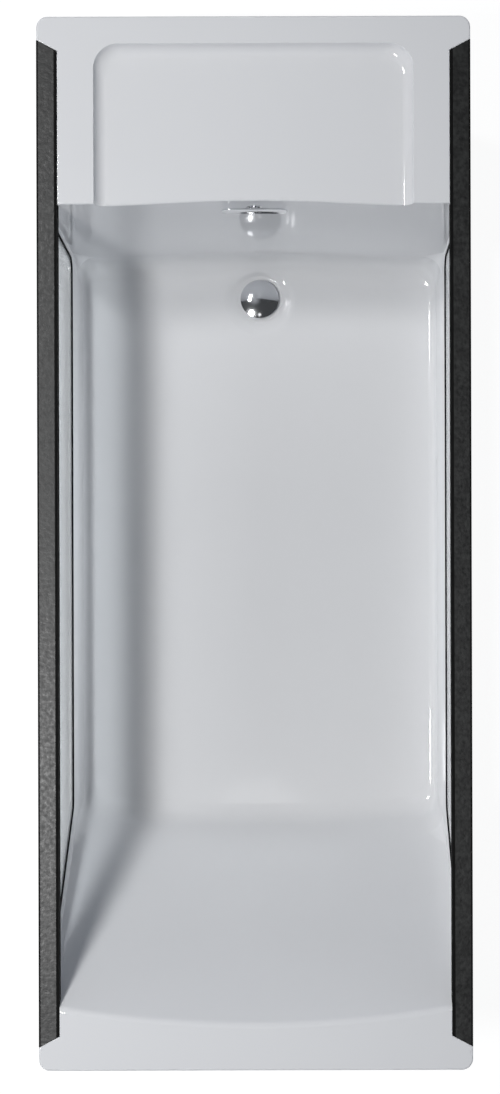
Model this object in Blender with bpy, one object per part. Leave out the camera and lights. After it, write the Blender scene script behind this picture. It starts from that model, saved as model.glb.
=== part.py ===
# Bathtub with a glass window in each long side, metres, +Z up.
# The origin is on the floor, under the middle of the bath.
# +Y points to the seat and drain end, the backrest is at the -Y end.

import math

import bmesh
import bpy
from mathutils import Matrix, Vector

# Driving dimensions of the whole bath
BATH_LENGTH = 1.700
BATH_WIDTH = 0.700
RIM_HEIGHT = 0.580
FLOOR_LEVEL = 0.160
WELL_DEPTH = RIM_HEIGHT - FLOOR_LEVEL

# Clearances shared by all pieces
FIT_GAP = 0.0003
CUT_OVERRUN = 0.010

# Moulded shell
SHELL_WALL = 0.008
RIM_CORNER_RADIUS = 0.018
RIM_EDGE_ROUND = 0.003
RIM_SKIRT_DEPTH = 0.030
RIM_SKIRT_WALL = 0.010
OVERLAP_DEPTH = 0.004

# Well, measured on its inner faces
WELL_SIDE_MARGIN = 0.016
WELL_SIDE_TAPER = 0.012
WELL_TOP_WIDTH = BATH_WIDTH - 2 * WELL_SIDE_MARGIN
WELL_BASE_WIDTH = WELL_TOP_WIDTH - 2 * WELL_SIDE_TAPER
SILL_HEIGHT = 0.0905
SILL_DEPTH = WELL_DEPTH - SILL_HEIGHT
SIDE_FILLET = 0.016
HEAD_DECK_LENGTH = 0.3105
FOOT_DECK_LENGTH = 0.096
SEAT_WALL_RUN = 0.0005
SEAT_WALL_BOW = 0.014
HEAD_FILLET = 0.045
WELL_LIP = 0.008
BACKREST_RUN = 0.304
DECK_LENGTHS = HEAD_DECK_LENGTH + FOOT_DECK_LENGTH
FLOOR_LENGTH = BATH_LENGTH - DECK_LENGTHS - SEAT_WALL_RUN - BACKREST_RUN
BACKREST_FLOOR_BOW = 0.0205
BACKREST_TOP_BOW = 0.030
BACKREST_FILLET = 0.050
BACKREST_LIP = 0.020
WELL_TOP_CORNER = 0.002
WELL_BASE_CORNER = 0.034

# Seat ledge recess at the head end
RECESS_SIDE_BORDER = 0.092
RECESS_WIDTH = BATH_WIDTH - 2 * RECESS_SIDE_BORDER
RECESS_DEPTH = 0.030
RECESS_BORDER = 0.044
RECESS_CORNER = 0.040
RECESS_RUN = 0.009
RECESS_FILLET = 0.012
RECESS_LIP = 0.004
SEAT_FRONT_ROUND = 0.008

# Side windows, each a pane in the plane of the well's side
GLASS_THICKNESS = 0.008
WINDOW_HEAD_MARGIN = 0.0025
WINDOW_FOOT_OFFSET = 0.0045
WINDOW_LEAN_EASE = 0.0345
WINDOW_LEAN_RUN = BACKREST_RUN - WINDOW_LEAN_EASE
WINDOW_CORNER = 0.025
SEAL_WIDTH = 0.003
SEAL_PROUD = 0.0022
STRIP_CLEARANCE = 0.0005
PANEL_GLASS_COVER = 0.008

# Rim bars with mitred ends
RIM_BAR_WIDTH = 0.0312
RIM_BAR_HEIGHT = 0.020
RIM_BAR_CHAMFER = 0.001
RIM_GASKET_WIDTH = 0.0017
RIM_GASKET_DROP = 0.0005
MITRE_OUTER_INSET = 0.040
MITRE_INNER_INSET = 0.058
GROOVE_DEPTH = 0.010

# Outer panels
PANEL_THICKNESS = 0.005
PANEL_REVEAL = 0.0022
PANEL_BOTTOM = 0.020
PANEL_EDGE_ROUND = 0.0008

# Drain, at the head end of the floor
DRAIN_FROM_SEAT_WALL = 0.057
DRAIN_HOLE_RADIUS = 0.026
DRAIN_SEAT_RADIUS = 0.038
DRAIN_DISH_RADIUS = 0.068
DRAIN_DISH_NEAR_RADIUS = 0.040
DRAIN_SEAT_DROP = 0.004
DRAIN_BOSS_RADIUS = 0.046

# Waste fitting
WASTE_GASKET_THICKNESS = 0.0015
WASTE_FLANGE_RADIUS = 0.034
WASTE_FLANGE_THICKNESS = 0.0025
WASTE_SPIGOT_RADIUS = 0.0225
WASTE_SPIGOT_WALL = 0.002
WASTE_SPIGOT_LENGTH = 0.040
SPIDER_HUB_RADIUS = 0.0115
SPIDER_HUB_HEIGHT = 0.010
SPIDER_ARM_WIDTH = 0.004
SPIDER_ARM_HEIGHT = 0.006
SPIDER_DROP = 0.022
SPIDER_ARMS = 3
CARTRIDGE_RADIUS = 0.0080
CARTRIDGE_COLLAR_RADIUS = 0.0100
CARTRIDGE_COLLAR_HEIGHT = 0.003
CARTRIDGE_LENGTH = 0.026
CARTRIDGE_FLOOR = 0.003
BODY_TOP_RADIUS = 0.038
BODY_TOP_HEIGHT = 0.009
BODY_RADIUS = 0.029
BODY_HEIGHT = 0.047
BODY_NECK_RADIUS = 0.0225
BODY_NECK_LENGTH = 0.016
BODY_BORE_RADIUS = 0.0190
BODY_GASKET_THICKNESS = 0.003

# Push plug
PLUG_RADIUS = 0.035
PLUG_CROWN = 0.0055
PLUG_EDGE = 0.0022
PLUG_WALL = 0.0022
PLUG_SEAL_THICKNESS = 0.0015
PLUG_SEAL_INNER_RADIUS = 0.0260
PLUG_SEAL_OUTER_RADIUS = 0.0325
PLUG_BOSS_RADIUS = 0.0080
PLUG_STEM_RADIUS = 0.0040
PLUG_STEM_DEPTH = 0.034
PLUG_STEM_GRIP = 0.004

# Trap under the waste body
TRAP_NUT_RADIUS = 0.0300
TRAP_NUT_RIB = 0.0015
TRAP_NUT_RIBS = 12
TRAP_NUT_RIB_STEPS = 4
TRAP_NUT_HEIGHT = 0.024
TRAP_NUT_COVER = 0.0135
TRAP_RADIUS = 0.037
TRAP_WALL = 0.003
TRAP_BOTTOM = 0.018
TRAP_SHOULDER = 0.006
TRAP_SOCKET_RADIUS = 0.0240
TRAP_SOCKET_REACH = 0.062
TRAP_OUTLET_HEIGHT = 0.046
OUTLET_RADIUS = 0.0200
OUTLET_WALL = 0.0025
OUTLET_LENGTH = 0.120
OUTLET_GRIP = 0.020

# Overflow in the seat wall
OVERFLOW_DEPTH = 0.0605
OVERFLOW_HOLE_RADIUS = 0.0135
COVER_WIDTH = 0.108
COVER_HEIGHT = 0.028
COVER_THICKNESS = 0.0028
COVER_STANDOFF = 0.0013
COVER_EDGE_ROUND = 0.0010
COVER_STEM_RADIUS = 0.0040
COVER_COLLAR_RADIUS = 0.0090
COVER_COLLAR_REACH = 0.0055
COVER_STEM_GRIP = 0.012
OVERFLOW_FLANGE_RADIUS = 0.0215
OVERFLOW_FLANGE_THICKNESS = 0.0040
OVERFLOW_GASKET_THICKNESS = 0.0030
ELBOW_RADIUS = 0.0180
ELBOW_BORE_RADIUS = 0.0145
ELBOW_LENGTH = 0.034
ELBOW_BACK_WALL = 0.003
ELBOW_BOSS_RADIUS = 0.0065
ELBOW_BOSS_LENGTH = 0.018
ELBOW_DROP = 0.030
SPIGOT_RADIUS = 0.0095
SPIGOT_BORE_RADIUS = 0.0072
SPIGOT_LENGTH = 0.022
SPIGOT_COLLAR_RADIUS = 0.0140
SPIGOT_COLLAR_LENGTH = 0.003
HOSE_BORE_RADIUS = 0.0104
HOSE_ROOT_RADIUS = 0.0118
HOSE_CREST_RADIUS = 0.0136
HOSE_RIB_PITCH = 0.0056
HOSE_CUFF_LENGTH = 0.024
HOSE_SIDES = 10

# Carrying frame
TUBE_SIZE = 0.025
TUBE_WALL = 0.002
TUBE_CORNER = 0.003
RAIL_SIDE_INSET = 0.065
RAIL_SPACING = BATH_WIDTH - 2 * RAIL_SIDE_INSET
CROSS_MEMBER_OVERHANG = 0.015
CROSS_MEMBER_LENGTH = RAIL_SPACING + 2 * CROSS_MEMBER_OVERHANG
BOARD_SIDE_INSET = 0.015
BOARD_THICKNESS = 0.015
BOARD_WIDTH = RAIL_SPACING - 2 * BOARD_SIDE_INSET
BOARD_FOOT_INSET = 0.030
BOARD_HEAD_INSET = 0.1395
BOARD_CORNER = 0.020
CROSS_FOOT_INSET = 0.030
CROSS_HEAD_INSET = 0.040
CROSS_MIDDLE_SHIFT = 0.015
POST_END_INSET = 0.048
PANEL_RAIL_INSET = 0.050
PANEL_RAIL_LENGTH = BATH_LENGTH - 2 * PANEL_RAIL_INSET
PANEL_RAIL_THICKNESS = 0.003
PANEL_RAIL_HEIGHT = 0.030

# Levelling feet
FOOT_END_INSET = 0.150
FOOT_MIDDLE = 0.040
STUD_RADIUS = 0.005
STUD_PROTRUSION = 0.0035
STUD_SEAT_HEIGHT = 0.006
NUT_ACROSS_FLATS = 0.017
NUT_HEIGHT = 0.008
NUT_STEPS = 12
PAD_RADIUS = 0.025
PAD_NECK_RADIUS = 0.010
PAD_HEIGHT = 0.016
PAD_EDGE_HEIGHT = 0.006

# Facets of round pieces
ROUND_STEPS = 24
SMALL_STEPS = 16
CORNER_STEPS = 3
BOW_STEPS = 10
DISH_STEPS = 32
SHARP_ANGLE = 35
MERGE_DISTANCE = 0.00001

# Shares that place the slices of the lofted well
LIP_SLICE_SHARES = (0, 0.04, 0.15, 0.36, 0.66, 1)
FILLET_SLICE_SHARES = (1, 0.72, 0.48, 0.30, 0.17, 0.08, 0.025, 0)
RECESS_SLICE_SHARES = (0, 0.03, 0.13, 0.6, 0.72, 0.82, 0.91, 0.97, 1)
BOW_SHARES = [1 - 2 * step / BOW_STEPS for step in range(1, BOW_STEPS)]
COVER_EDGE_SHARE = 0.3

# Levels and lines that several pieces share
HALF_LENGTH = BATH_LENGTH / 2
HALF_WIDTH = BATH_WIDTH / 2
FLOOR_UNDERSIDE = FLOOR_LEVEL - SHELL_WALL
SEAT_LINE = HALF_LENGTH - HEAD_DECK_LENGTH
HEAD_LINE = SEAT_LINE - SEAT_WALL_RUN
SEAT_WALL_SLOPE = SEAT_WALL_RUN / WELL_DEPTH
FOOT_LINE = HEAD_LINE - FLOOR_LENGTH
WINDOW_PLANE = WELL_TOP_WIDTH / 2
REBATE_INNER = HALF_WIDTH - RIM_BAR_WIDTH - RIM_GASKET_WIDTH - 2 * FIT_GAP
REBATE_DEPTH = RIM_BAR_HEIGHT + FIT_GAP
BAR_UNDERSIDE = RIM_HEIGHT - RIM_BAR_HEIGHT
DRAIN_Y = HEAD_LINE - DRAIN_FROM_SEAT_WALL
SEAT_WALL_CENTRE = SEAT_LINE + SEAT_WALL_BOW - SEAT_WALL_SLOPE * OVERFLOW_DEPTH
PANEL_OUTER = HALF_WIDTH - PANEL_REVEAL
PANEL_TOP = RIM_HEIGHT - RIM_SKIRT_DEPTH - FIT_GAP
BOARD_TOP = FLOOR_UNDERSIDE - FIT_GAP
CROSS_TOP = BOARD_TOP - BOARD_THICKNESS - FIT_GAP
RAIL_TOP = CROSS_TOP - TUBE_SIZE - FIT_GAP
RAIL_BOTTOM = RAIL_TOP - TUBE_SIZE
RAIL_X = RAIL_SPACING / 2
BOARD_FOOT_END = FOOT_LINE + BOARD_FOOT_INSET
BOARD_HEAD_END = SEAT_LINE - BOARD_HEAD_INSET
CROSS_FOOT_Y = BOARD_FOOT_END + CROSS_FOOT_INSET
CROSS_HEAD_Y = BOARD_HEAD_END - CROSS_HEAD_INSET
CROSS_MIDDLE_Y = (CROSS_FOOT_Y + CROSS_HEAD_Y) / 2 - CROSS_MIDDLE_SHIFT
CROSS_MEMBER_PLACES = {"foot": CROSS_FOOT_Y, "middle": CROSS_MIDDLE_Y, "head": CROSS_HEAD_Y}
FOOT_END_Y = HALF_LENGTH - FOOT_END_INSET
FOOT_PLACES = {"foot": -FOOT_END_Y, "middle": FOOT_MIDDLE, "head": FOOT_END_Y}

WHITE = (0.80, 0.81, 0.83)
COLOURS = {
    "shell_white": (WHITE, 0.12, 0.0),
    "panel_white": (WHITE, 0.25, 0.0),
    "window_glass": ((0.80, 0.88, 0.86), 0.03, 0.0),
    "black_rubber": ((0.02, 0.02, 0.02), 0.60, 0.0),
    "slate": ((0.11, 0.115, 0.115), 0.55, 0.0),
    "chrome": ((0.75, 0.76, 0.78), 0.08, 1.0),
    "brass": ((0.70, 0.55, 0.28), 0.30, 1.0),
    "zinc_steel": ((0.60, 0.61, 0.62), 0.35, 1.0),
    "particle_board": ((0.62, 0.49, 0.34), 0.80, 0.0),
    "grey_plastic": ((0.35, 0.36, 0.37), 0.50, 0.0),
    "white_plastic": ((0.78, 0.78, 0.76), 0.45, 0.0),
    "pad_plastic": ((0.06, 0.06, 0.06), 0.65, 0.0),
}


# Scene helpers


def clear_scene():
    for item in list(bpy.data.objects):
        bpy.data.objects.remove(item, do_unlink=True)


def get_material(name):
    found = bpy.data.materials.get(name)
    if found:
        return found
    colour, roughness, metallic = COLOURS[name]
    material = bpy.data.materials.new(name)
    material.use_nodes = True
    shader = material.node_tree.nodes["Principled BSDF"]
    shader.inputs["Base Color"].default_value = (*colour, 1)
    shader.inputs["Roughness"].default_value = roughness
    shader.inputs["Metallic"].default_value = metallic
    material.diffuse_color = (*colour, 1)
    return material


def make_object(name, shape, material=None, smooth=False):
    mesh = bpy.data.meshes.new(name)
    bmesh.ops.recalc_face_normals(shape, faces=shape.faces)
    shape.to_mesh(mesh)
    shape.free()
    item = bpy.data.objects.new(name, mesh)
    bpy.context.scene.collection.objects.link(item)
    if material:
        mesh.materials.append(get_material(material))
    if smooth:
        mesh.shade_smooth()
        mesh.set_sharp_from_angle(angle=math.radians(SHARP_ANGLE))
    return item


def set_origin(item, place):
    offset = Vector(place)
    item.data.transform(Matrix.Translation(-offset))
    item.location = offset


def boolean(target, tool, operation):
    step = target.modifiers.new(operation.lower() + "_" + tool.name, "BOOLEAN")
    step.operation = operation
    step.solver = "EXACT"
    step.object = tool
    tool.hide_render = True
    tool.display_type = "WIRE"


def cut(target, *tools):
    for tool in tools:
        boolean(target, tool, "DIFFERENCE")


def join(target, *tools):
    for tool in tools:
        boolean(target, tool, "UNION")


def bevel(item, width):
    step = item.modifiers.new("edge_round", "BEVEL")
    step.width = width
    step.segments = 1
    step.limit_method = "ANGLE"


# Flat outlines, as lists of 2-D points that run anticlockwise


def line_meeting(a, b, c, d):
    along = (b[0] - a[0], b[1] - a[1])
    across = (d[0] - c[0], d[1] - c[1])
    spread = along[0] * across[1] - along[1] * across[0]
    share = ((c[0] - a[0]) * across[1] - (c[1] - a[1]) * across[0]) / spread
    return (a[0] + share * along[0], a[1] + share * along[1])


def inset_outline(points, gaps):
    lines = []
    for index, point in enumerate(points):
        after = points[(index + 1) % len(points)]
        run = (after[0] - point[0], after[1] - point[1])
        length = math.hypot(*run)
        shift = (-run[1] / length * gaps[index], run[0] / length * gaps[index])
        start = (point[0] + shift[0], point[1] + shift[1])
        end = (after[0] + shift[0], after[1] + shift[1])
        lines.append((start, end))
    moved = []
    for index, line in enumerate(lines):
        before = lines[index - 1]
        moved.append(line_meeting(*before, *line))
    return moved


def round_corners(points, radii, steps=CORNER_STEPS):
    outline = []
    for index, (point, radius) in enumerate(zip(points, radii)):
        if radius <= 0:
            outline.append(point)
            continue
        here = Vector(point)
        back = (Vector(points[index - 1]) - here).normalized()
        ahead = (Vector(points[(index + 1) % len(points)]) - here).normalized()
        half_angle = back.angle(ahead) / 2
        centre = here + (back + ahead).normalized() * (radius / math.sin(half_angle))
        start = here + back * (radius / math.tan(half_angle)) - centre
        end = here + ahead * (radius / math.tan(half_angle)) - centre
        sweep = start.angle_signed(end)
        for step in range(steps + 1):
            turned = Matrix.Rotation(-sweep * step / steps, 2) @ start
            outline.append(tuple(centre + turned))
    return outline


def rectangle(x_low, x_high, y_low, y_high):
    return [(x_low, y_low), (x_high, y_low), (x_high, y_high), (x_low, y_high)]


def rounded_rectangle(half_x, half_y, radius, steps=CORNER_STEPS):
    corners = rectangle(-half_x, half_x, -half_y, half_y)
    return round_corners(corners, [radius] * len(corners), steps)


def circle(radius, steps, x=0, y=0):
    points = []
    for step in range(steps):
        angle = math.tau * step / steps
        points.append((x + radius * math.cos(angle), y + radius * math.sin(angle)))
    return points


# Solids from outlines


def loft(name, loops, material=None, smooth=False, closed=False):
    shape = bmesh.new()
    rings = [[shape.verts.new(point) for point in loop] for loop in loops]
    pairs = list(zip(rings, rings[1:]))
    if closed:
        pairs.append((rings[-1], rings[0]))
    for lower, upper in pairs:
        for index in range(len(lower)):
            after = (index + 1) % len(lower)
            shape.faces.new((lower[index], lower[after], upper[after], upper[index]))
    if not closed:
        shape.faces.new(list(reversed(rings[0])))
        shape.faces.new(rings[-1])
    return make_object(name, shape, material, smooth)


def prism(name, outline, axis, low, high, material=None):
    loops = []
    for level in (low, high):
        if axis == "X":
            loops.append([(level, u, v) for u, v in outline])
        elif axis == "Y":
            loops.append([(u, level, v) for u, v in outline])
        else:
            loops.append([(u, v, level) for u, v in outline])
    return loft(name, loops, material)


def turned(name, profile, centre, material=None, axis="Z"):
    # The profile is a closed loop of (radius, height) points round the axis
    shape = bmesh.new()
    outline = [shape.verts.new((radius, 0, height)) for radius, height in profile]
    edges = [shape.edges.new((outline[i - 1], outline[i])) for i in range(len(outline))]
    bmesh.ops.spin(
        shape,
        geom=outline + edges,
        axis=(0, 0, 1),
        cent=(0, 0, 0),
        angle=math.tau,
        steps=ROUND_STEPS,
        use_merge=True,
    )
    bmesh.ops.remove_doubles(shape, verts=shape.verts, dist=MERGE_DISTANCE)
    if axis == "Y":
        shape.transform(Matrix.Rotation(-math.pi / 2, 4, "X"))
    shape.transform(Matrix.Translation(Vector(centre)))
    return make_object(name, shape, material, smooth=True)


def rod(name, radius, low, high, centre, material=None, axis="Z", steps=ROUND_STEPS):
    if axis == "X":
        outline = circle(radius, steps, centre[1], centre[2])
    elif axis == "Y":
        outline = circle(radius, steps, centre[0], centre[2])
    else:
        outline = circle(radius, steps, centre[0], centre[1])
    item = prism(name, outline, axis, low, high, material)
    item.data.shade_smooth()
    item.data.set_sharp_from_angle(angle=math.radians(SHARP_ANGLE))
    return item


def square_tube(name, axis, low, high, first, second, material):
    # first and second are the tube's centre across its axis
    outer = rounded_rectangle(TUBE_SIZE / 2, TUBE_SIZE / 2, TUBE_CORNER)
    inner_half = TUBE_SIZE / 2 - TUBE_WALL
    inner = rounded_rectangle(inner_half, inner_half, TUBE_CORNER - TUBE_WALL)
    loops = []
    for outline, level in ((outer, low), (outer, high), (inner, high), (inner, low)):
        if axis == "X":
            loops.append([(level, first + u, second + v) for u, v in outline])
        elif axis == "Y":
            loops.append([(first + u, level, second + v) for u, v in outline])
        else:
            loops.append([(first + u, second + v, level) for u, v in outline])
    return loft(name, loops, material, closed=True)


# Shape of a leaning wall with a rolled top edge and a fillet at its foot


def wall_reach(depth, full_depth, lean, grow, lip, fillet):
    # Distance outwards from the line where the inner wall would meet the floor
    turn = math.pi / 2 - lean
    slope = math.tan(lean)
    side_shift = grow / math.cos(lean)
    floor_depth = full_depth + grow
    reach = slope * (full_depth - depth) + side_shift
    fillet_radius = fillet + grow
    height = floor_depth - depth
    if fillet and height < fillet_radius * (1 - math.cos(turn)):
        corner = side_shift - slope * grow
        drop = fillet_radius - height
        chord = math.sqrt(max(fillet_radius**2 - drop**2, 0))
        reach = corner - fillet_radius * math.tan(turn / 2) + chord
    if lip and depth < lip * (1 - math.cos(turn)):
        top = slope * full_depth + side_shift
        drop = lip - max(depth, 0)
        chord = math.sqrt(max(lip**2 - drop**2, 0))
        reach = top + lip * math.tan(turn / 2) - chord
    return reach


def blend(low, high, share):
    return low + (high - low) * min(max(share, 0), 1)


SIDE_LEAN = math.atan(WELL_SIDE_TAPER / SILL_HEIGHT)
SEAT_WALL_LEAN = math.atan(SEAT_WALL_SLOPE)
BACKREST_LEAN = math.atan(BACKREST_RUN / WELL_DEPTH)
RECESS_LEAN = math.atan(RECESS_RUN / RECESS_DEPTH)


def bowed_seat_y(x):
    share = x / WINDOW_PLANE
    return SEAT_LINE + SEAT_WALL_BOW * (1 - share**2)


def well_outline(depth, grow=0, lips=True):
    side_reach = wall_reach(depth, WELL_DEPTH, SIDE_LEAN, grow, 0, SIDE_FILLET)
    half = min(WELL_BASE_WIDTH / 2 + side_reach, WINDOW_PLANE + grow)
    head_lip = WELL_LIP if lips else 0
    foot_lip = BACKREST_LIP if lips else 0
    head_reach = wall_reach(depth, WELL_DEPTH, SEAT_WALL_LEAN, grow, head_lip, HEAD_FILLET)
    head = HEAD_LINE + head_reach
    foot_reach = wall_reach(depth, WELL_DEPTH, BACKREST_LEAN, grow, foot_lip, BACKREST_FILLET)
    foot = FOOT_LINE - foot_reach
    foot_bow = blend(BACKREST_TOP_BOW, BACKREST_FLOOR_BOW, depth / WELL_DEPTH)
    below_sill = (depth - SILL_DEPTH) / (WELL_DEPTH - HEAD_FILLET - SILL_DEPTH)
    corner = blend(WELL_TOP_CORNER, WELL_BASE_CORNER, below_sill) + grow
    points = [(half, foot), (half, head)]
    points += [(half * share, head + SEAT_WALL_BOW * (1 - share**2)) for share in BOW_SHARES]
    points += [(-half, head), (-half, foot)]
    points += [(-half * share, foot - foot_bow * (1 - share**2)) for share in BOW_SHARES]
    radii = [0] * len(points)
    for index in (0, 1, 1 + BOW_STEPS, 2 + BOW_STEPS):
        radii[index] = corner
    return round_corners(points, radii)


def well_slices(grow, top_depths):
    floor_depth = WELL_DEPTH + grow
    zone = max(HEAD_FILLET, BACKREST_FILLET * (1 - math.sin(BACKREST_LEAN))) + grow
    depths = list(top_depths)
    depths.append(SILL_DEPTH)
    depths += [floor_depth - zone * share for share in FILLET_SLICE_SHARES]
    return depths


def at_level(outline, level):
    return [(x, y, level) for x, y in outline]


def make_well_cutter():
    lip_zone = BACKREST_LIP * (1 - math.sin(BACKREST_LEAN))
    top_depths = [lip_zone * share for share in LIP_SLICE_SHARES]
    depths = well_slices(0, top_depths)
    loops = [at_level(well_outline(0), RIM_HEIGHT + CUT_OVERRUN)]
    loops += [at_level(well_outline(depth), RIM_HEIGHT - depth) for depth in depths]
    return loft("cutter_well", loops)


def make_outer_well():
    loops = []
    for depth in well_slices(SHELL_WALL, [OVERLAP_DEPTH]):
        outline = well_outline(depth, SHELL_WALL, lips=False)
        loops.append(at_level(outline, RIM_HEIGHT - depth))
    return loft("tub_shell", loops, "shell_white", smooth=True)


def make_rim_tray():
    # The flat rim with its turned-down skirt, hollow from below
    def ring(inset, depth):
        radius = max(RIM_CORNER_RADIUS - inset, RIM_EDGE_ROUND)
        outline = rounded_rectangle(HALF_WIDTH - inset, HALF_LENGTH - inset, radius)
        return at_level(outline, RIM_HEIGHT - depth)

    half_turn = RIM_EDGE_ROUND * (1 - math.cos(math.pi / 4))
    loops = [
        ring(RIM_SKIRT_WALL, SHELL_WALL),
        ring(RIM_SKIRT_WALL, RIM_SKIRT_DEPTH),
        ring(0, RIM_SKIRT_DEPTH),
        ring(0, RIM_EDGE_ROUND),
        ring(half_turn, half_turn),
        ring(RIM_EDGE_ROUND, 0),
    ]
    return loft("joiner_rim_tray", loops)


def recess_outline(depth, grow, front):
    lip = 0 if grow else RECESS_LIP
    reach = wall_reach(depth, RECESS_DEPTH, RECESS_LEAN, grow, lip, RECESS_FILLET)
    half = RECESS_WIDTH / 2 - RECESS_RUN + reach
    head = HALF_LENGTH - RECESS_BORDER - RECESS_RUN + reach
    points = rectangle(-half, half, front, head)
    return round_corners(points, [0, 0, RECESS_CORNER + grow, RECESS_CORNER + grow])


def make_recess_cutter():
    front = SEAT_LINE - CUT_OVERRUN
    loops = [at_level(recess_outline(0, 0, front), RIM_HEIGHT + CUT_OVERRUN)]
    for share in RECESS_SLICE_SHARES:
        depth = RECESS_DEPTH * share
        loops.append(at_level(recess_outline(depth, 0, front), RIM_HEIGHT - depth))
    return loft("cutter_recess", loops)


def make_outer_recess():
    front = SEAT_LINE + OVERLAP_DEPTH
    loops = []
    for share in RECESS_SLICE_SHARES:
        depth = blend(OVERLAP_DEPTH, RECESS_DEPTH + SHELL_WALL, share)
        loops.append(at_level(recess_outline(depth, SHELL_WALL, front), RIM_HEIGHT - depth))
    return loft("joiner_recess", loops)


def make_seat_front_round():
    # Rounds the seat's front edge, along the bow of the seat wall
    radius = SEAT_FRONT_ROUND
    half = RECESS_WIDTH / 2 - RECESS_RUN - RECESS_FILLET * math.tan((math.pi / 2 - RECESS_LEAN) / 2)
    seat_level = RIM_HEIGHT - RECESS_DEPTH
    loops = []
    for step in range(BOW_STEPS + 1):
        x = half * (1 - 2 * step / BOW_STEPS)
        wall_y = bowed_seat_y(x)
        profile = [(wall_y - radius, seat_level + radius), (wall_y - radius, seat_level - radius)]
        for turn in range(CORNER_STEPS + 1):
            angle = math.pi / 2 * turn / CORNER_STEPS
            y = wall_y + radius - radius * math.cos(angle)
            z = seat_level - radius + radius * math.sin(angle)
            profile.append((y, z))
        profile.append((wall_y + radius, seat_level + radius))
        loops.append([(x, y, z) for y, z in profile])
    return loft("cutter_seat_front", loops)


# Mitred outlines for the rim bars and what they sit in


def mitre_y(x):
    slope = (MITRE_INNER_INSET - MITRE_OUTER_INSET) / (HALF_WIDTH - REBATE_INNER)
    return HALF_LENGTH - MITRE_OUTER_INSET - (HALF_WIDTH - x) * slope


def mitred_outline(side, inner, outer, gap):
    inner_y = mitre_y(inner) - gap
    outer_y = mitre_y(outer) - gap
    points = [(inner, -inner_y), (outer, -outer_y), (outer, outer_y), (inner, inner_y)]
    return mirrored(points, side)


def mirrored(points, side):
    if side > 0:
        return points
    return [(-x, y) for x, y in reversed(points)]


def make_rebate_cutter(name, side):
    outline = mitred_outline(side, REBATE_INNER, HALF_WIDTH + CUT_OVERRUN, 0)
    low = RIM_HEIGHT - REBATE_DEPTH
    return prism("cutter_rebate_" + name, outline, "Z", low, RIM_HEIGHT + CUT_OVERRUN)


def make_shoulder(name, side, end):
    # Shelf under one end of a rim bar
    inner = REBATE_INNER - SHELL_WALL
    outer = HALF_WIDTH - RIM_SKIRT_WALL / 2
    reach = mitre_y(outer) + SHELL_WALL
    if end > 0:
        outline = rectangle(inner, outer, SEAT_LINE + OVERLAP_DEPTH, reach)
    else:
        outline = rectangle(inner, outer, -reach, FOOT_LINE - BACKREST_RUN)
    low = RIM_HEIGHT - REBATE_DEPTH - SHELL_WALL
    high = RIM_HEIGHT - OVERLAP_DEPTH
    return prism("joiner_shoulder_" + name, mirrored(outline, side), "Z", low, high)


# Window outline in the Y-Z plane


def window_points():
    top = BAR_UNDERSIDE + GROOVE_DEPTH
    sill = RIM_HEIGHT - SILL_DEPTH
    head = SEAT_LINE - WINDOW_HEAD_MARGIN - SEAT_WALL_SLOPE * SILL_DEPTH
    head_top = head + SEAT_WALL_SLOPE * (top - sill)
    foot = FOOT_LINE + WINDOW_FOOT_OFFSET
    lean = WINDOW_LEAN_RUN / (BAR_UNDERSIDE - sill)
    foot_top = foot - lean * (top - sill)
    return [(foot, sill), (head, sill), (head_top, top), (foot_top, top)]


def window_outline(inset):
    points = inset_outline(window_points(), [inset] * 4)
    corner = WINDOW_CORNER - inset
    return round_corners(points, [corner, corner, 0, 0])


def make_window_cutter(name, side):
    low = WELL_BASE_WIDTH / 2 - SHELL_WALL
    high = WINDOW_PLANE + GLASS_THICKNESS + STRIP_CLEARANCE
    x_range = sorted((side * low, side * high))
    return prism("cutter_window_" + name, window_outline(0), "X", *x_range)


# Drain dish in the floor


def make_dish_cutter():
    flat_run = HEAD_LINE + SEAT_WALL_BOW - HEAD_FILLET - DRAIN_Y
    spread = DRAIN_DISH_RADIUS - DRAIN_DISH_NEAR_RADIUS
    seat = []
    rim = []
    above = []
    for step in range(DISH_STEPS):
        angle = math.tau * step / DISH_STEPS
        towards_wall = max(math.sin(angle), 0)
        reach = DRAIN_DISH_RADIUS - spread * towards_wall**2
        climb = max(reach * math.sin(angle) - flat_run, 0)
        lift = HEAD_FILLET - math.sqrt(HEAD_FILLET**2 - climb**2)
        ray = Vector((math.cos(angle), math.sin(angle), 0))
        centre = Vector((0, DRAIN_Y, FLOOR_LEVEL))
        seat.append(tuple(centre + ray * DRAIN_SEAT_RADIUS - Vector((0, 0, DRAIN_SEAT_DROP))))
        rim.append(tuple(centre + ray * reach + Vector((0, 0, lift + FIT_GAP))))
        above.append(tuple(centre + ray * reach + Vector((0, 0, lift + CUT_OVERRUN))))
    return loft("cutter_dish", [seat, rim, above])


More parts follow.
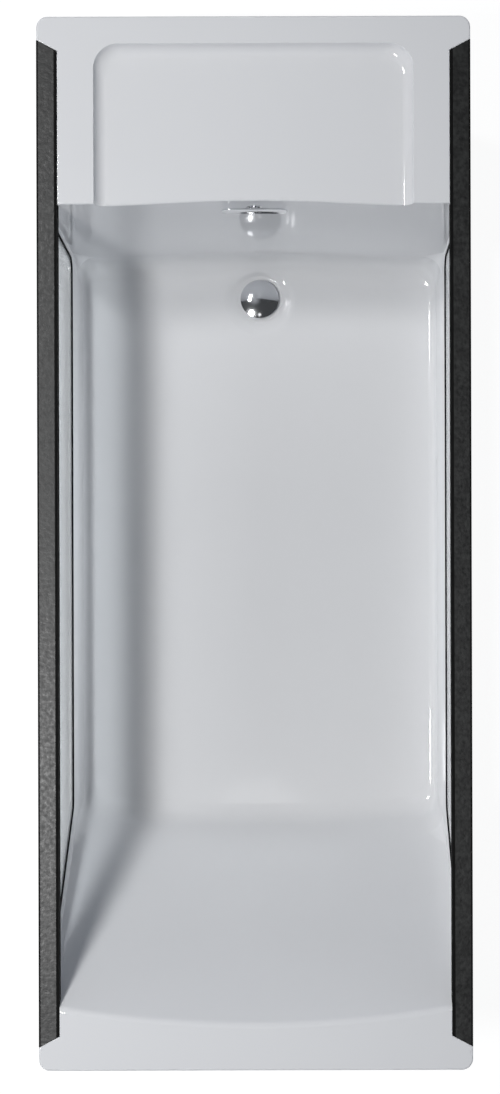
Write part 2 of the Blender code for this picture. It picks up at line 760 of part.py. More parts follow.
def make_tub_shell():
    shell = make_outer_well()
    boss_bottom = FLOOR_UNDERSIDE - DRAIN_SEAT_DROP
    boss_top = FLOOR_LEVEL - SHELL_WALL / 2
    drain = (0, DRAIN_Y, 0)
    overflow = (0, 0, RIM_HEIGHT - OVERFLOW_DEPTH)
    join(shell, make_rim_tray(), make_outer_recess())
    join(shell, rod("joiner_drain_boss", DRAIN_BOSS_RADIUS, boss_bottom, boss_top, drain))
    for name, side, end in (
        ("head_right", 1, 1),
        ("head_left", -1, 1),
        ("foot_right", 1, -1),
        ("foot_left", -1, -1),
    ):
        join(shell, make_shoulder(name, side, end))
    cut(shell, make_well_cutter(), make_recess_cutter(), make_seat_front_round())
    for name, side in (("right", 1), ("left", -1)):
        cut(shell, make_rebate_cutter(name, side), make_window_cutter(name, side))
    hole_low = boss_bottom - CUT_OVERRUN
    hole_high = FLOOR_LEVEL + CUT_OVERRUN
    cut(shell, make_dish_cutter())
    cut(shell, rod("cutter_drain", DRAIN_HOLE_RADIUS, hole_low, hole_high, drain))
    wall_low = SEAT_WALL_CENTRE - CUT_OVERRUN
    wall_high = SEAT_WALL_CENTRE + SHELL_WALL + CUT_OVERRUN
    hole = rod("cutter_overflow", OVERFLOW_HOLE_RADIUS, wall_low, wall_high, overflow, axis="Y")
    cut(shell, hole)


# Glass, seals and rim bars


def make_window_side(name, side):
    inner = WINDOW_PLANE
    outer = WINDOW_PLANE + GLASS_THICKNESS
    x_range = sorted((side * inner, side * outer))
    pane_inset = FIT_GAP + SEAL_WIDTH + FIT_GAP
    prism("glass_pane_" + name, window_outline(pane_inset), "X", *x_range, "window_glass")

    seal_outer = window_outline(FIT_GAP)
    seal_inner = window_outline(FIT_GAP + SEAL_WIDTH)
    loops = []
    near, far = side * (inner - SEAL_PROUD), side * outer
    for outline, level in ((seal_outer, near), (seal_outer, far), (seal_inner, far), (seal_inner, near)):
        loops.append([(level, y, z) for y, z in outline])
    loft("glass_seal_" + name, loops, "black_rubber", closed=True)

    bar_inner = REBATE_INNER + FIT_GAP + RIM_GASKET_WIDTH + FIT_GAP
    outline = mitred_outline(side, bar_inner, HALF_WIDTH, FIT_GAP)
    bar = prism("rim_bar_" + name, outline, "Z", BAR_UNDERSIDE, RIM_HEIGHT, "slate")
    bevel(bar, RIM_BAR_CHAMFER)
    corners = window_points()
    groove_foot = corners[3][0] - FIT_GAP
    groove_head = corners[2][0] + FIT_GAP
    groove_inner = inner - SEAL_PROUD - FIT_GAP
    groove_x = sorted((side * groove_inner, side * (outer + FIT_GAP)))
    groove_low = BAR_UNDERSIDE - CUT_OVERRUN
    groove_high = BAR_UNDERSIDE + GROOVE_DEPTH
    groove = rectangle(*groove_x, groove_foot, groove_head)
    cut(bar, prism("cutter_groove_" + name, groove, "Z", groove_low, groove_high))

    gasket_inner = REBATE_INNER + FIT_GAP
    outline = mitred_outline(side, gasket_inner, gasket_inner + RIM_GASKET_WIDTH, FIT_GAP)
    top = RIM_HEIGHT - RIM_GASKET_DROP
    prism("rim_gasket_" + name, outline, "Z", BAR_UNDERSIDE, top, "black_rubber")


# Outer panels


def make_side_panel(name, side):
    covered = inset_outline(window_points(), [PANEL_GLASS_COVER] * 4)
    foot_low, head_low, head_high, foot_high = covered
    foot_top = line_meeting(foot_low, foot_high, (0, PANEL_TOP), (1, PANEL_TOP))
    head_top = line_meeting(head_low, head_high, (0, PANEL_TOP), (1, PANEL_TOP))
    end = HALF_LENGTH - PANEL_REVEAL
    points = [
        (-end, PANEL_BOTTOM),
        (end, PANEL_BOTTOM),
        (end, PANEL_TOP),
        head_top,
        head_low,
        foot_low,
        foot_top,
        (-end, PANEL_TOP),
    ]
    corner = WINDOW_CORNER - PANEL_GLASS_COVER
    outline = round_corners(points, [0, 0, 0, 0, corner, corner, 0, 0])
    x_range = sorted((side * (PANEL_OUTER - PANEL_THICKNESS), side * PANEL_OUTER))
    panel = prism("side_panel_" + name, outline, "X", *x_range, "panel_white")
    bevel(panel, PANEL_EDGE_ROUND)


def make_end_panel(name, end):
    half = PANEL_OUTER - PANEL_THICKNESS - FIT_GAP
    outer = HALF_LENGTH - PANEL_REVEAL
    y_range = sorted((end * (outer - PANEL_THICKNESS), end * outer))
    outline = rectangle(-half, half, PANEL_BOTTOM, PANEL_TOP)
    panel = prism("end_panel_" + name, outline, "Y", *y_range, "panel_white")
    bevel(panel, PANEL_EDGE_ROUND)


# Waste fitting, its plug and the trap

BOSS_UNDERSIDE = FLOOR_UNDERSIDE - DRAIN_SEAT_DROP
DRAIN_SEAT = FLOOR_LEVEL - DRAIN_SEAT_DROP
FLANGE_BOTTOM = DRAIN_SEAT + FIT_GAP + WASTE_GASKET_THICKNESS + FIT_GAP
FLANGE_TOP = FLANGE_BOTTOM + WASTE_FLANGE_THICKNESS
BODY_TOP = BOSS_UNDERSIDE - FIT_GAP - BODY_GASKET_THICKNESS - FIT_GAP
SPIGOT_SLOT = WASTE_SPIGOT_RADIUS + FIT_GAP
HUB_TOP = FLANGE_TOP - SPIDER_DROP
HUB_BOTTOM = HUB_TOP - SPIDER_HUB_HEIGHT
BODY_BOTTOM = BODY_TOP - BODY_HEIGHT
NECK_BOTTOM = BODY_BOTTOM - BODY_NECK_LENGTH
SIDE_PORT_LEVEL = BODY_TOP - BODY_HEIGHT / 2 - BODY_TOP_HEIGHT / 2


def make_waste_flange():
    centre = (0, DRAIN_Y, 0)
    bore = WASTE_SPIGOT_RADIUS - WASTE_SPIGOT_WALL
    low = FLANGE_TOP - WASTE_SPIGOT_LENGTH
    edge = WASTE_FLANGE_THICKNESS / 2
    profile = [
        (bore, FLANGE_TOP - edge),
        (bore + edge, FLANGE_TOP),
        (WASTE_FLANGE_RADIUS - edge, FLANGE_TOP),
        (WASTE_FLANGE_RADIUS, FLANGE_TOP - edge),
        (WASTE_FLANGE_RADIUS, FLANGE_BOTTOM),
        (WASTE_SPIGOT_RADIUS, FLANGE_BOTTOM),
        (WASTE_SPIGOT_RADIUS, low),
        (bore, low),
    ]
    flange = turned("waste_flange", profile, centre, "chrome")
    hub_bore = CARTRIDGE_RADIUS + FIT_GAP
    hub = [
        (hub_bore, HUB_BOTTOM),
        (SPIDER_HUB_RADIUS, HUB_BOTTOM),
        (SPIDER_HUB_RADIUS, HUB_TOP),
        (hub_bore, HUB_TOP),
    ]
    spider = turned("joiner_spider_hub", hub, centre)
    arm_start = (hub_bore + SPIDER_HUB_RADIUS) / 2
    arm_end = bore + WASTE_SPIGOT_WALL / 2
    arm_low = (HUB_BOTTOM + HUB_TOP - SPIDER_ARM_HEIGHT) / 2
    half_arm = SPIDER_ARM_WIDTH / 2
    for count in range(SPIDER_ARMS):
        outline = rectangle(arm_start, arm_end, -half_arm, half_arm)
        turn = Matrix.Rotation(math.tau * count / SPIDER_ARMS, 2)
        placed = [tuple(turn @ Vector(point) + Vector((0, DRAIN_Y))) for point in outline]
        arm = prism(f"joiner_spider_arm_{count}", placed, "Z", arm_low, arm_low + SPIDER_ARM_HEIGHT)
        join(spider, arm)
    join(flange, spider)


def make_ring(name, inner, outer, low, high, centre, material, axis="Z"):
    profile = [(inner, low), (outer, low), (outer, high), (inner, high)]
    return turned(name, profile, centre, material, axis)


def make_waste_body():
    centre = (0, DRAIN_Y, 0)
    chamber_top = FLANGE_TOP - WASTE_SPIGOT_LENGTH - FIT_GAP
    profile = [
        (SPIGOT_SLOT, BODY_TOP),
        (BODY_TOP_RADIUS, BODY_TOP),
        (BODY_TOP_RADIUS, BODY_TOP - BODY_TOP_HEIGHT),
        (BODY_RADIUS, BODY_TOP - BODY_TOP_HEIGHT - (BODY_TOP_RADIUS - BODY_RADIUS) / 2),
        (BODY_RADIUS, BODY_BOTTOM),
        (BODY_NECK_RADIUS, BODY_BOTTOM),
        (BODY_NECK_RADIUS, NECK_BOTTOM),
        (BODY_BORE_RADIUS, NECK_BOTTOM),
        (BODY_BORE_RADIUS, chamber_top),
        (SPIGOT_SLOT, chamber_top),
    ]
    body = turned("waste_body", profile, centre, "grey_plastic")
    wall_middle = (BODY_RADIUS + BODY_BORE_RADIUS) / 2
    join(body, make_hose_spigot("waste", DRAIN_Y + wall_middle, DRAIN_Y + BODY_RADIUS))
    port = (0, 0, SIDE_PORT_LEVEL)
    end = DRAIN_Y + BODY_RADIUS + SPIGOT_COLLAR_LENGTH + SPIGOT_LENGTH + CUT_OVERRUN
    bore = rod("cutter_waste_port", SPIGOT_BORE_RADIUS, DRAIN_Y, end, port, axis="Y", steps=SMALL_STEPS)
    cut(body, bore)


def make_hose_spigot(name, start, face):
    # Stub along +Y with a collar that stops the hose
    collar_end = face + SPIGOT_COLLAR_LENGTH
    rings = [
        (SPIGOT_COLLAR_RADIUS, start),
        (SPIGOT_COLLAR_RADIUS, collar_end),
        (SPIGOT_RADIUS, collar_end),
        (SPIGOT_RADIUS, collar_end + SPIGOT_LENGTH),
    ]
    stub = turned_solid("joiner_spigot_" + name, rings)
    stub.data.transform(Matrix.Rotation(-math.pi / 2, 4, "X"))
    stub.data.transform(Matrix.Translation(Vector((0, 0, SIDE_PORT_LEVEL))))
    return stub


def turned_solid(name, rings):
    # A turned solid without a bore, from rings of (radius, height)
    loops = [at_level(circle(radius, ROUND_STEPS), height) for radius, height in rings]
    return loft(name, loops, smooth=True)


def make_plug():
    centre = (0, DRAIN_Y, 0)
    seal_bottom = FLANGE_TOP + FIT_GAP
    seal_top = seal_bottom + PLUG_SEAL_THICKNESS
    dome_bottom = seal_top + FIT_GAP
    inner, outer = PLUG_SEAL_INNER_RADIUS, PLUG_SEAL_OUTER_RADIUS
    seal = make_ring("plug_seal", inner, outer, seal_bottom, seal_top, centre, "black_rubber")

    sphere = ((PLUG_RADIUS**2) + PLUG_CROWN**2) / (2 * PLUG_CROWN)
    opening = math.asin(PLUG_RADIUS / sphere)
    crown_centre = dome_bottom + PLUG_EDGE + PLUG_CROWN - sphere
    boss_top = dome_bottom + PLUG_EDGE
    socket = PLUG_STEM_RADIUS + FIT_GAP
    socket_top = dome_bottom + PLUG_STEM_GRIP
    dome_steps = ROUND_STEPS // 3
    profile = [
        (socket, dome_bottom),
        (PLUG_BOSS_RADIUS, dome_bottom),
        (PLUG_BOSS_RADIUS, boss_top),
        (PLUG_RADIUS - PLUG_WALL, boss_top - PLUG_WALL / 2),
        (PLUG_RADIUS - PLUG_WALL, dome_bottom),
        (PLUG_RADIUS, dome_bottom),
    ]
    for step in range(dome_steps):
        angle = opening * (1 - step / dome_steps)
        profile.append((sphere * math.sin(angle), crown_centre + sphere * math.cos(angle)))
    crown_top = crown_centre + sphere
    profile.insert(0, (socket, socket_top))
    loops = [at_level(circle(radius, DISH_STEPS), height) for radius, height in profile]
    dome = loft_dome("plug_dome", loops, crown_top, "chrome")
    dome.data.transform(Matrix.Translation(Vector(centre)))

    stem_low = socket_top - FIT_GAP - PLUG_STEM_DEPTH
    stem_high = socket_top - FIT_GAP
    stem = rod("plug_stem", PLUG_STEM_RADIUS, stem_low, stem_high, centre, "brass", steps=SMALL_STEPS)
    for item in (seal, dome, stem):
        set_origin(item, (0, DRAIN_Y, dome_bottom))

    cartridge_bore = PLUG_STEM_RADIUS + FIT_GAP
    low = HUB_TOP + CARTRIDGE_COLLAR_HEIGHT - CARTRIDGE_LENGTH
    collar_low = HUB_TOP + FIT_GAP
    collar_high = HUB_TOP + CARTRIDGE_COLLAR_HEIGHT
    profile = [
        (cartridge_bore, low),
        (CARTRIDGE_RADIUS, low),
        (CARTRIDGE_RADIUS, collar_low),
        (CARTRIDGE_COLLAR_RADIUS, collar_low),
        (CARTRIDGE_COLLAR_RADIUS, collar_high),
        (cartridge_bore, collar_high),
    ]
    turned("click_cartridge", profile, centre, "brass")


def loft_dome(name, loops, crown_top, material):
    # First loop is capped flat, last loop closes on a point at the crown
    shape = bmesh.new()
    rings = [[shape.verts.new(point) for point in loop] for loop in loops]
    for lower, upper in zip(rings, rings[1:]):
        for index in range(len(lower)):
            after = (index + 1) % len(lower)
            shape.faces.new((lower[index], lower[after], upper[after], upper[index]))
    shape.faces.new(rings[0])
    crown = shape.verts.new((0, 0, crown_top))
    last = rings[-1]
    for index in range(len(last)):
        shape.faces.new((last[index], last[(index + 1) % len(last)], crown))
    return make_object(name, shape, material, smooth=True)


def make_trap():
    centre = (0, DRAIN_Y, 0)
    nut_low = NECK_BOTTOM - (TRAP_NUT_HEIGHT - TRAP_NUT_COVER)
    nut_high = nut_low + TRAP_NUT_HEIGHT
    bore = BODY_NECK_RADIUS + FIT_GAP
    outer = []
    steps = TRAP_NUT_RIBS * TRAP_NUT_RIB_STEPS
    for step in range(steps):
        angle = math.tau * step / steps
        on_rib = step % TRAP_NUT_RIB_STEPS < TRAP_NUT_RIB_STEPS / 2
        radius = TRAP_NUT_RADIUS if on_rib else TRAP_NUT_RADIUS - TRAP_NUT_RIB
        outer.append((radius * math.cos(angle), DRAIN_Y + radius * math.sin(angle)))
    inner = circle(bore, steps, 0, DRAIN_Y)
    loops = [
        at_level(outer, nut_low),
        at_level(outer, nut_high),
        at_level(inner, nut_high),
        at_level(inner, nut_low),
    ]
    loft("trap_nut", loops, "white_plastic", closed=True)

    neck_top = NECK_BOTTOM - FIT_GAP
    shoulder_top = nut_low - FIT_GAP
    floor_top = TRAP_BOTTOM + TRAP_WALL
    inner_radius = TRAP_RADIUS - TRAP_WALL
    outer_skin = [
        (BODY_NECK_RADIUS, neck_top),
        (BODY_NECK_RADIUS, shoulder_top),
        (TRAP_RADIUS - TRAP_SHOULDER, shoulder_top),
        (TRAP_RADIUS, shoulder_top - TRAP_SHOULDER),
        (TRAP_RADIUS, TRAP_BOTTOM + TRAP_SHOULDER),
        (TRAP_RADIUS - TRAP_SHOULDER, TRAP_BOTTOM),
    ]
    inner_skin = [
        (inner_radius - TRAP_SHOULDER, floor_top),
        (inner_radius, floor_top + TRAP_SHOULDER),
        (inner_radius, shoulder_top - TRAP_SHOULDER - TRAP_WALL),
        (BODY_BORE_RADIUS, shoulder_top - TRAP_WALL),
        (BODY_BORE_RADIUS, neck_top),
    ]
    cup = make_cup("trap_cup", outer_skin, inner_skin, centre, "white_plastic")
    wall_middle = DRAIN_Y + TRAP_RADIUS - TRAP_WALL / 2
    port = (0, 0, TRAP_OUTLET_HEIGHT)
    socket_end = DRAIN_Y + TRAP_SOCKET_REACH
    socket = rod("joiner_trap_socket", TRAP_SOCKET_RADIUS, wall_middle, socket_end, port, axis="Y")
    join(cup, socket)
    pipe_start = socket_end - OUTLET_GRIP
    mouth = rod(
        "cutter_trap_mouth",
        OUTLET_RADIUS + FIT_GAP,
        pipe_start - FIT_GAP,
        socket_end + CUT_OVERRUN,
        port,
        axis="Y",
    )
    pipe_bore = OUTLET_RADIUS - OUTLET_WALL
    way = rod("cutter_trap_way", pipe_bore, DRAIN_Y, pipe_start, port, axis="Y")
    cut(cup, mouth, way)

    pipe_end = pipe_start + OUTLET_LENGTH
    outer_circle = circle(OUTLET_RADIUS, ROUND_STEPS, 0, TRAP_OUTLET_HEIGHT)
    inner_circle = circle(pipe_bore, ROUND_STEPS, 0, TRAP_OUTLET_HEIGHT)
    loops = []
    for outline, level in (
        (outer_circle, pipe_start),
        (outer_circle, pipe_end),
        (inner_circle, pipe_end),
        (inner_circle, pipe_start),
    ):
        loops.append([(x, level, z) for x, z in outline])
    loft("trap_outlet", loops, "white_plastic", smooth=True, closed=True)


def make_cup(name, outer_skin, inner_skin, centre, material):
    # Rings from the mouth down the outside, then from the inside floor back up
    shape = bmesh.new()
    rings = []
    for radius, height in outer_skin + inner_skin:
        outline = circle(radius, ROUND_STEPS, centre[0], centre[1])
        rings.append([shape.verts.new(point) for point in at_level(outline, height)])
    last_outer = len(outer_skin) - 1
    pairs = [(rings[-1], rings[0])]
    for index, pair in enumerate(zip(rings, rings[1:])):
        if index != last_outer:
            pairs.append(pair)
    for lower, upper in pairs:
        for index in range(ROUND_STEPS):
            after = (index + 1) % ROUND_STEPS
            shape.faces.new((lower[index], lower[after], upper[after], upper[index]))
    shape.faces.new(rings[last_outer])
    shape.faces.new(rings[last_outer + 1])
    return make_object(name, shape, material, smooth=True)


# Overflow: cover, gasket, elbow and ribbed hose

WALL_BACK = SEAT_WALL_CENTRE + SHELL_WALL
OVERFLOW_LEVEL = RIM_HEIGHT - OVERFLOW_DEPTH
GASKET_FACE = WALL_BACK + SEAT_WALL_SLOPE * OVERFLOW_FLANGE_RADIUS + FIT_GAP
ELBOW_FACE = GASKET_FACE + OVERFLOW_GASKET_THICKNESS + FIT_GAP
ELBOW_DOWN_Y = ELBOW_FACE + ELBOW_LENGTH - ELBOW_RADIUS
ELBOW_COLLAR_LEVEL = OVERFLOW_LEVEL - ELBOW_DROP


def make_overflow():
    centre = (0, 0, OVERFLOW_LEVEL)
    back = SEAT_WALL_CENTRE - COVER_STANDOFF
    front = back - COVER_THICKNESS

    def cover_ring(inset, y):
        half_x = COVER_WIDTH / 2 - inset
        half_z = COVER_HEIGHT / 2 - inset
        outline = rounded_rectangle(half_x, half_z, half_z - FIT_GAP, SMALL_STEPS // 2)
        return [(x, y, OVERFLOW_LEVEL + z) for x, z in outline]

    edge = COVER_EDGE_ROUND
    loops = [
        cover_ring(edge, front),
        cover_ring(edge * COVER_EDGE_SHARE, front + edge * COVER_EDGE_SHARE),
        cover_ring(0, front + edge),
        cover_ring(0, back - edge / 2),
        cover_ring(edge / 2, back),
    ]
    cover = loft("overflow_cover", loops, "chrome", smooth=True)
    plate_middle = (front + back) / 2
    collar_end = back + COVER_COLLAR_REACH
    collar = rod("joiner_cover_collar", COVER_COLLAR_RADIUS, plate_middle, collar_end, centre, axis="Y")
    boss_start = ELBOW_FACE + ELBOW_LENGTH - ELBOW_BACK_WALL - ELBOW_BOSS_LENGTH
    stem_end = boss_start + COVER_STEM_GRIP
    stem = rod(
        "joiner_cover_stem",
        COVER_STEM_RADIUS,
        plate_middle,
        stem_end,
        centre,
        axis="Y",
        steps=SMALL_STEPS,
    )
    join(cover, collar, stem)

    flange_radius = OVERFLOW_FLANGE_RADIUS
    gasket_end = GASKET_FACE + OVERFLOW_GASKET_THICKNESS
    hole = OVERFLOW_HOLE_RADIUS
    gasket_profile = [(hole, 0), (flange_radius, 0)]
    gasket_profile += [(radius, gasket_end - GASKET_FACE) for radius in (flange_radius, hole)]
    place = (0, GASKET_FACE, OVERFLOW_LEVEL)
    turned("overflow_gasket", gasket_profile, place, "black_rubber", axis="Y")

    flange_end = ELBOW_FACE + OVERFLOW_FLANGE_THICKNESS
    elbow_end = ELBOW_FACE + ELBOW_LENGTH
    elbow = rod("overflow_elbow", flange_radius, ELBOW_FACE, flange_end, centre, "grey_plastic", axis="Y")
    flange_middle = (ELBOW_FACE + flange_end) / 2
    barrel = rod("joiner_elbow_barrel", ELBOW_RADIUS, flange_middle, elbow_end, centre, axis="Y")
    spigot_low = ELBOW_COLLAR_LEVEL - SPIGOT_LENGTH
    rings = [
        (SPIGOT_RADIUS, spigot_low),
        (SPIGOT_RADIUS, ELBOW_COLLAR_LEVEL),
        (SPIGOT_COLLAR_RADIUS, ELBOW_COLLAR_LEVEL),
        (SPIGOT_COLLAR_RADIUS, OVERFLOW_LEVEL),
    ]
    down = turned_solid("joiner_elbow_down", rings)
    down.data.transform(Matrix.Translation(Vector((0, ELBOW_DOWN_Y, 0))))
    join(elbow, barrel, down)
    bore_end = elbow_end - ELBOW_BACK_WALL
    bore_start = ELBOW_FACE - CUT_OVERRUN
    bore = rod("cutter_elbow_bore", ELBOW_BORE_RADIUS, bore_start, bore_end, centre, axis="Y")
    down_centre = (0, ELBOW_DOWN_Y, 0)
    low = spigot_low - CUT_OVERRUN
    down_bore = rod(
        "cutter_elbow_down",
        SPIGOT_BORE_RADIUS,
        low,
        OVERFLOW_LEVEL,
        down_centre,
        steps=SMALL_STEPS,
    )
    cut(elbow, bore, down_bore)
    boss_end = bore_end + ELBOW_BACK_WALL / 2
    boss = rod("joiner_elbow_boss", ELBOW_BOSS_RADIUS, boss_start, boss_end, centre, axis="Y")
    join(elbow, boss)
    socket_end = stem_end + FIT_GAP
    socket_radius = COVER_STEM_RADIUS + FIT_GAP
    socket = rod("cutter_elbow_socket", socket_radius, bore_start, socket_end, centre, axis="Y")
    cut(elbow, socket)


def hose_route():
    # Down from the elbow, round a quarter bend, and back to the waste body
    top = ELBOW_COLLAR_LEVEL - FIT_GAP
    face = DRAIN_Y + BODY_RADIUS + SPIGOT_COLLAR_LENGTH + FIT_GAP
    bend = ELBOW_DOWN_Y - face - HOSE_CUFF_LENGTH
    straight = top - SIDE_PORT_LEVEL - bend
    arc = bend * math.pi / 2
    total = straight + arc + HOSE_CUFF_LENGTH

    def at(distance):
        if distance < straight:
            return Vector((0, ELBOW_DOWN_Y, top - distance)), Vector((0, 0, -1))
        if distance < straight + arc:
            angle = (distance - straight) / bend
            y = ELBOW_DOWN_Y - bend * (1 - math.cos(angle))
            z = SIDE_PORT_LEVEL + bend - bend * math.sin(angle)
            return Vector((0, y, z)), Vector((0, -math.sin(angle), -math.cos(angle)))
        rest = distance - straight - arc
        y = face + HOSE_CUFF_LENGTH - rest
        return Vector((0, y, SIDE_PORT_LEVEL)), Vector((0, -1, 0))

    return at, straight, arc, total


def make_overflow_hose():
    at, straight, arc, total = hose_route()
    shape = bmesh.new()
    side_axis = Vector((1, 0, 0))

    def ring(distance, radius):
        centre, along = at(distance)
        up = side_axis.cross(along)
        verts = []
        for step in range(HOSE_SIDES):
            angle = math.tau * step / HOSE_SIDES
            ray = side_axis * math.cos(angle) + up * math.sin(angle)
            verts.append(shape.verts.new(centre + ray * radius))
        return verts

    ribbed = total - 2 * HOSE_CUFF_LENGTH
    ribs = int(ribbed / HOSE_RIB_PITCH)
    pitch = ribbed / ribs
    outer = [ring(0, HOSE_CREST_RADIUS)]
    outer.append(ring(HOSE_CUFF_LENGTH - pitch / 4, HOSE_CREST_RADIUS))
    for rib in range(ribs):
        start = HOSE_CUFF_LENGTH + rib * pitch
        outer.append(ring(start + pitch / 4, HOSE_ROOT_RADIUS))
        outer.append(ring(start + pitch * 3 / 4, HOSE_CREST_RADIUS))
    outer.append(ring(total, HOSE_CREST_RADIUS))

    bend_steps = ROUND_STEPS // 2
    inner_places = [0] + [straight + arc * step / bend_steps for step in range(bend_steps + 1)]
    inner_places.append(total)
    inner = [ring(distance, HOSE_BORE_RADIUS) for distance in inner_places]
    loop = outer + list(reversed(inner))
    for index, lower in enumerate(loop):
        upper = loop[(index + 1) % len(loop)]
        for corner in range(HOSE_SIDES):
            after = (corner + 1) % HOSE_SIDES
            shape.faces.new((lower[corner], lower[after], upper[after], upper[corner]))
    make_object("overflow_hose", shape, "white_plastic", smooth=True)


# Frame, posts and feet


def make_frame():
    board = round_corners(
        rectangle(-BOARD_WIDTH / 2, BOARD_WIDTH / 2, BOARD_FOOT_END, BOARD_HEAD_END),
        [BOARD_CORNER] * 4,
    )
    board_low = BOARD_TOP - BOARD_THICKNESS
    prism("base_board", board, "Z", board_low, BOARD_TOP, "particle_board")
    half = CROSS_MEMBER_LENGTH / 2
    cross_z = CROSS_TOP - TUBE_SIZE / 2
    for place, y in CROSS_MEMBER_PLACES.items():
        square_tube("cross_member_" + place, "X", -half, half, y, cross_z, "zinc_steel")
    rail_end = HALF_LENGTH - PANEL_REVEAL - PANEL_THICKNESS - FIT_GAP
    post_y = HALF_LENGTH - POST_END_INSET
    post_low = RAIL_TOP + FIT_GAP
    post_high = RIM_HEIGHT - SHELL_WALL - FIT_GAP
    for name, side in (("right", 1), ("left", -1)):
        x = side * RAIL_X
        rail = square_tube(
            "frame_rail_" + name, "Y", -rail_end, rail_end, x, RAIL_TOP - TUBE_SIZE / 2, "zinc_steel"
        )
        for place, y in FOOT_PLACES.items():
            bore = rod(
                f"cutter_stud_{name}_{place}",
                STUD_RADIUS + FIT_GAP,
                RAIL_BOTTOM - CUT_OVERRUN,
                RAIL_TOP + CUT_OVERRUN,
                (x, y, 0),
                steps=SMALL_STEPS,
            )
            cut(rail, bore)
            make_foot(f"{name}_{place}", x, y)
        for end_name, end in (("head", 1), ("foot", -1)):
            post = f"corner_post_{name}_{end_name}"
            square_tube(post, "Z", post_low, post_high, x, end * post_y, "zinc_steel")
        make_panel_rail(name, side)


def make_panel_rail(name, side):
    # Angle section between the frame rail and the side panel
    inner = RAIL_X + TUBE_SIZE / 2 + FIT_GAP
    outer = PANEL_OUTER - PANEL_THICKNESS - FIT_GAP
    low = RAIL_BOTTOM
    thick = PANEL_RAIL_THICKNESS
    section = [
        (inner, low),
        (outer, low),
        (outer, low + PANEL_RAIL_HEIGHT),
        (outer - thick, low + PANEL_RAIL_HEIGHT),
        (outer - thick, low + thick),
        (inner, low + thick),
    ]
    half = PANEL_RAIL_LENGTH / 2
    prism("panel_rail_" + name, mirrored(section, side), "Y", -half, half, "zinc_steel")


def make_foot(name, x, y):
    stud_top = RAIL_TOP + STUD_PROTRUSION
    axis_point = (x, y, 0)
    stud = rod(
        "foot_stud_" + name,
        STUD_RADIUS,
        STUD_SEAT_HEIGHT,
        stud_top,
        axis_point,
        "zinc_steel",
        steps=SMALL_STEPS,
    )
    socket = STUD_RADIUS + FIT_GAP
    socket_floor = STUD_SEAT_HEIGHT - FIT_GAP
    loops = []
    for radius, height in (
        (PAD_RADIUS, 0),
        (PAD_RADIUS, PAD_EDGE_HEIGHT),
        (PAD_NECK_RADIUS, PAD_HEIGHT - PAD_EDGE_HEIGHT / 2),
        (PAD_NECK_RADIUS, PAD_HEIGHT),
        (socket, PAD_HEIGHT),
        (socket, socket_floor),
    ):
        loops.append(at_level(circle(radius, SMALL_STEPS, x, y), height))
    pad = loft("foot_pad_" + name, loops, "pad_plastic", smooth=True)
    for item in (stud, pad):
        set_origin(item, axis_point)

    nut_radius = NUT_ACROSS_FLATS / 2 / math.cos(math.pi / 6)
    outer = []
    for step in range(NUT_STEPS):
        angle = math.tau * step / NUT_STEPS
        radius = nut_radius if step % 2 == 0 else NUT_ACROSS_FLATS / 2
        outer.append((x + radius * math.cos(angle), y + radius * math.sin(angle)))
    inner = circle(socket, NUT_STEPS, x, y)
    high = RAIL_BOTTOM - FIT_GAP
    low = high - NUT_HEIGHT
    loops = [at_level(outer, low), at_level(outer, high), at_level(inner, high), at_level(inner, low)]
    loft("lock_nut_" + name, loops, "zinc_steel", closed=True)


def make_bath():
    clear_scene()
    make_tub_shell()
    for name, side in (("right", 1), ("left", -1)):
        make_window_side(name, side)
        make_side_panel(name, side)
    for name, end in (("head", 1), ("foot", -1)):
        make_end_panel(name, end)
    make_frame()
    centre = (0, DRAIN_Y, 0)
    gasket_low = DRAIN_SEAT + FIT_GAP
    gasket_high = gasket_low + WASTE_GASKET_THICKNESS
    seat_edge = WASTE_FLANGE_RADIUS - WASTE_SPIGOT_WALL
    make_ring("waste_gasket_top", SPIGOT_SLOT, seat_edge, gasket_low, gasket_high, centre, "black_rubber")
    low = BODY_TOP + FIT_GAP
    high = low + BODY_GASKET_THICKNESS
    hole = DRAIN_HOLE_RADIUS
    make_ring("waste_gasket_bottom", hole, BODY_TOP_RADIUS, low, high, centre, "black_rubber")
    make_waste_flange()
    make_waste_body()
    make_plug()
    make_trap()
    make_overflow()
    make_overflow_hose()


make_bath()
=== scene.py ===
import math

import bpy
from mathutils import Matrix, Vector


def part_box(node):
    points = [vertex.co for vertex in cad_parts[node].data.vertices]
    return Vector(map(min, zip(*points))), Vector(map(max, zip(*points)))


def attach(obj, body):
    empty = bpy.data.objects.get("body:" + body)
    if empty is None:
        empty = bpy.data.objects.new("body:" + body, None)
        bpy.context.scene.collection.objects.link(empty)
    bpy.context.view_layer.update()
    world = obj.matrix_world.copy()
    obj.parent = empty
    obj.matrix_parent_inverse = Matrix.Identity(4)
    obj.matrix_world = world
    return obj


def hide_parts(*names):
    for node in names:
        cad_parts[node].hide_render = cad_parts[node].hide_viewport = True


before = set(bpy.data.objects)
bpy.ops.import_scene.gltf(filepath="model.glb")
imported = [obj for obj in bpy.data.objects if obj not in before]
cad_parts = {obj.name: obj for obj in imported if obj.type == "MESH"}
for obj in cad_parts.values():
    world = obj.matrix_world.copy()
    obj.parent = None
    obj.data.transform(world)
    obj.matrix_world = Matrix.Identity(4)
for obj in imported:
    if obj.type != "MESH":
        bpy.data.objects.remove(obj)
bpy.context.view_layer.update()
print("frame loaded:", len(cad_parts), "CAD nodes")


# Camera, straight down from above the foot half of the bath

cameraView = {
    "place": (0.0757, -0.2368, 3.530),
    "lens": 60.25,
    "shift": (-0.0475, 0.1307),
    "roll": -0.0029,
    "farthest": 60,
}


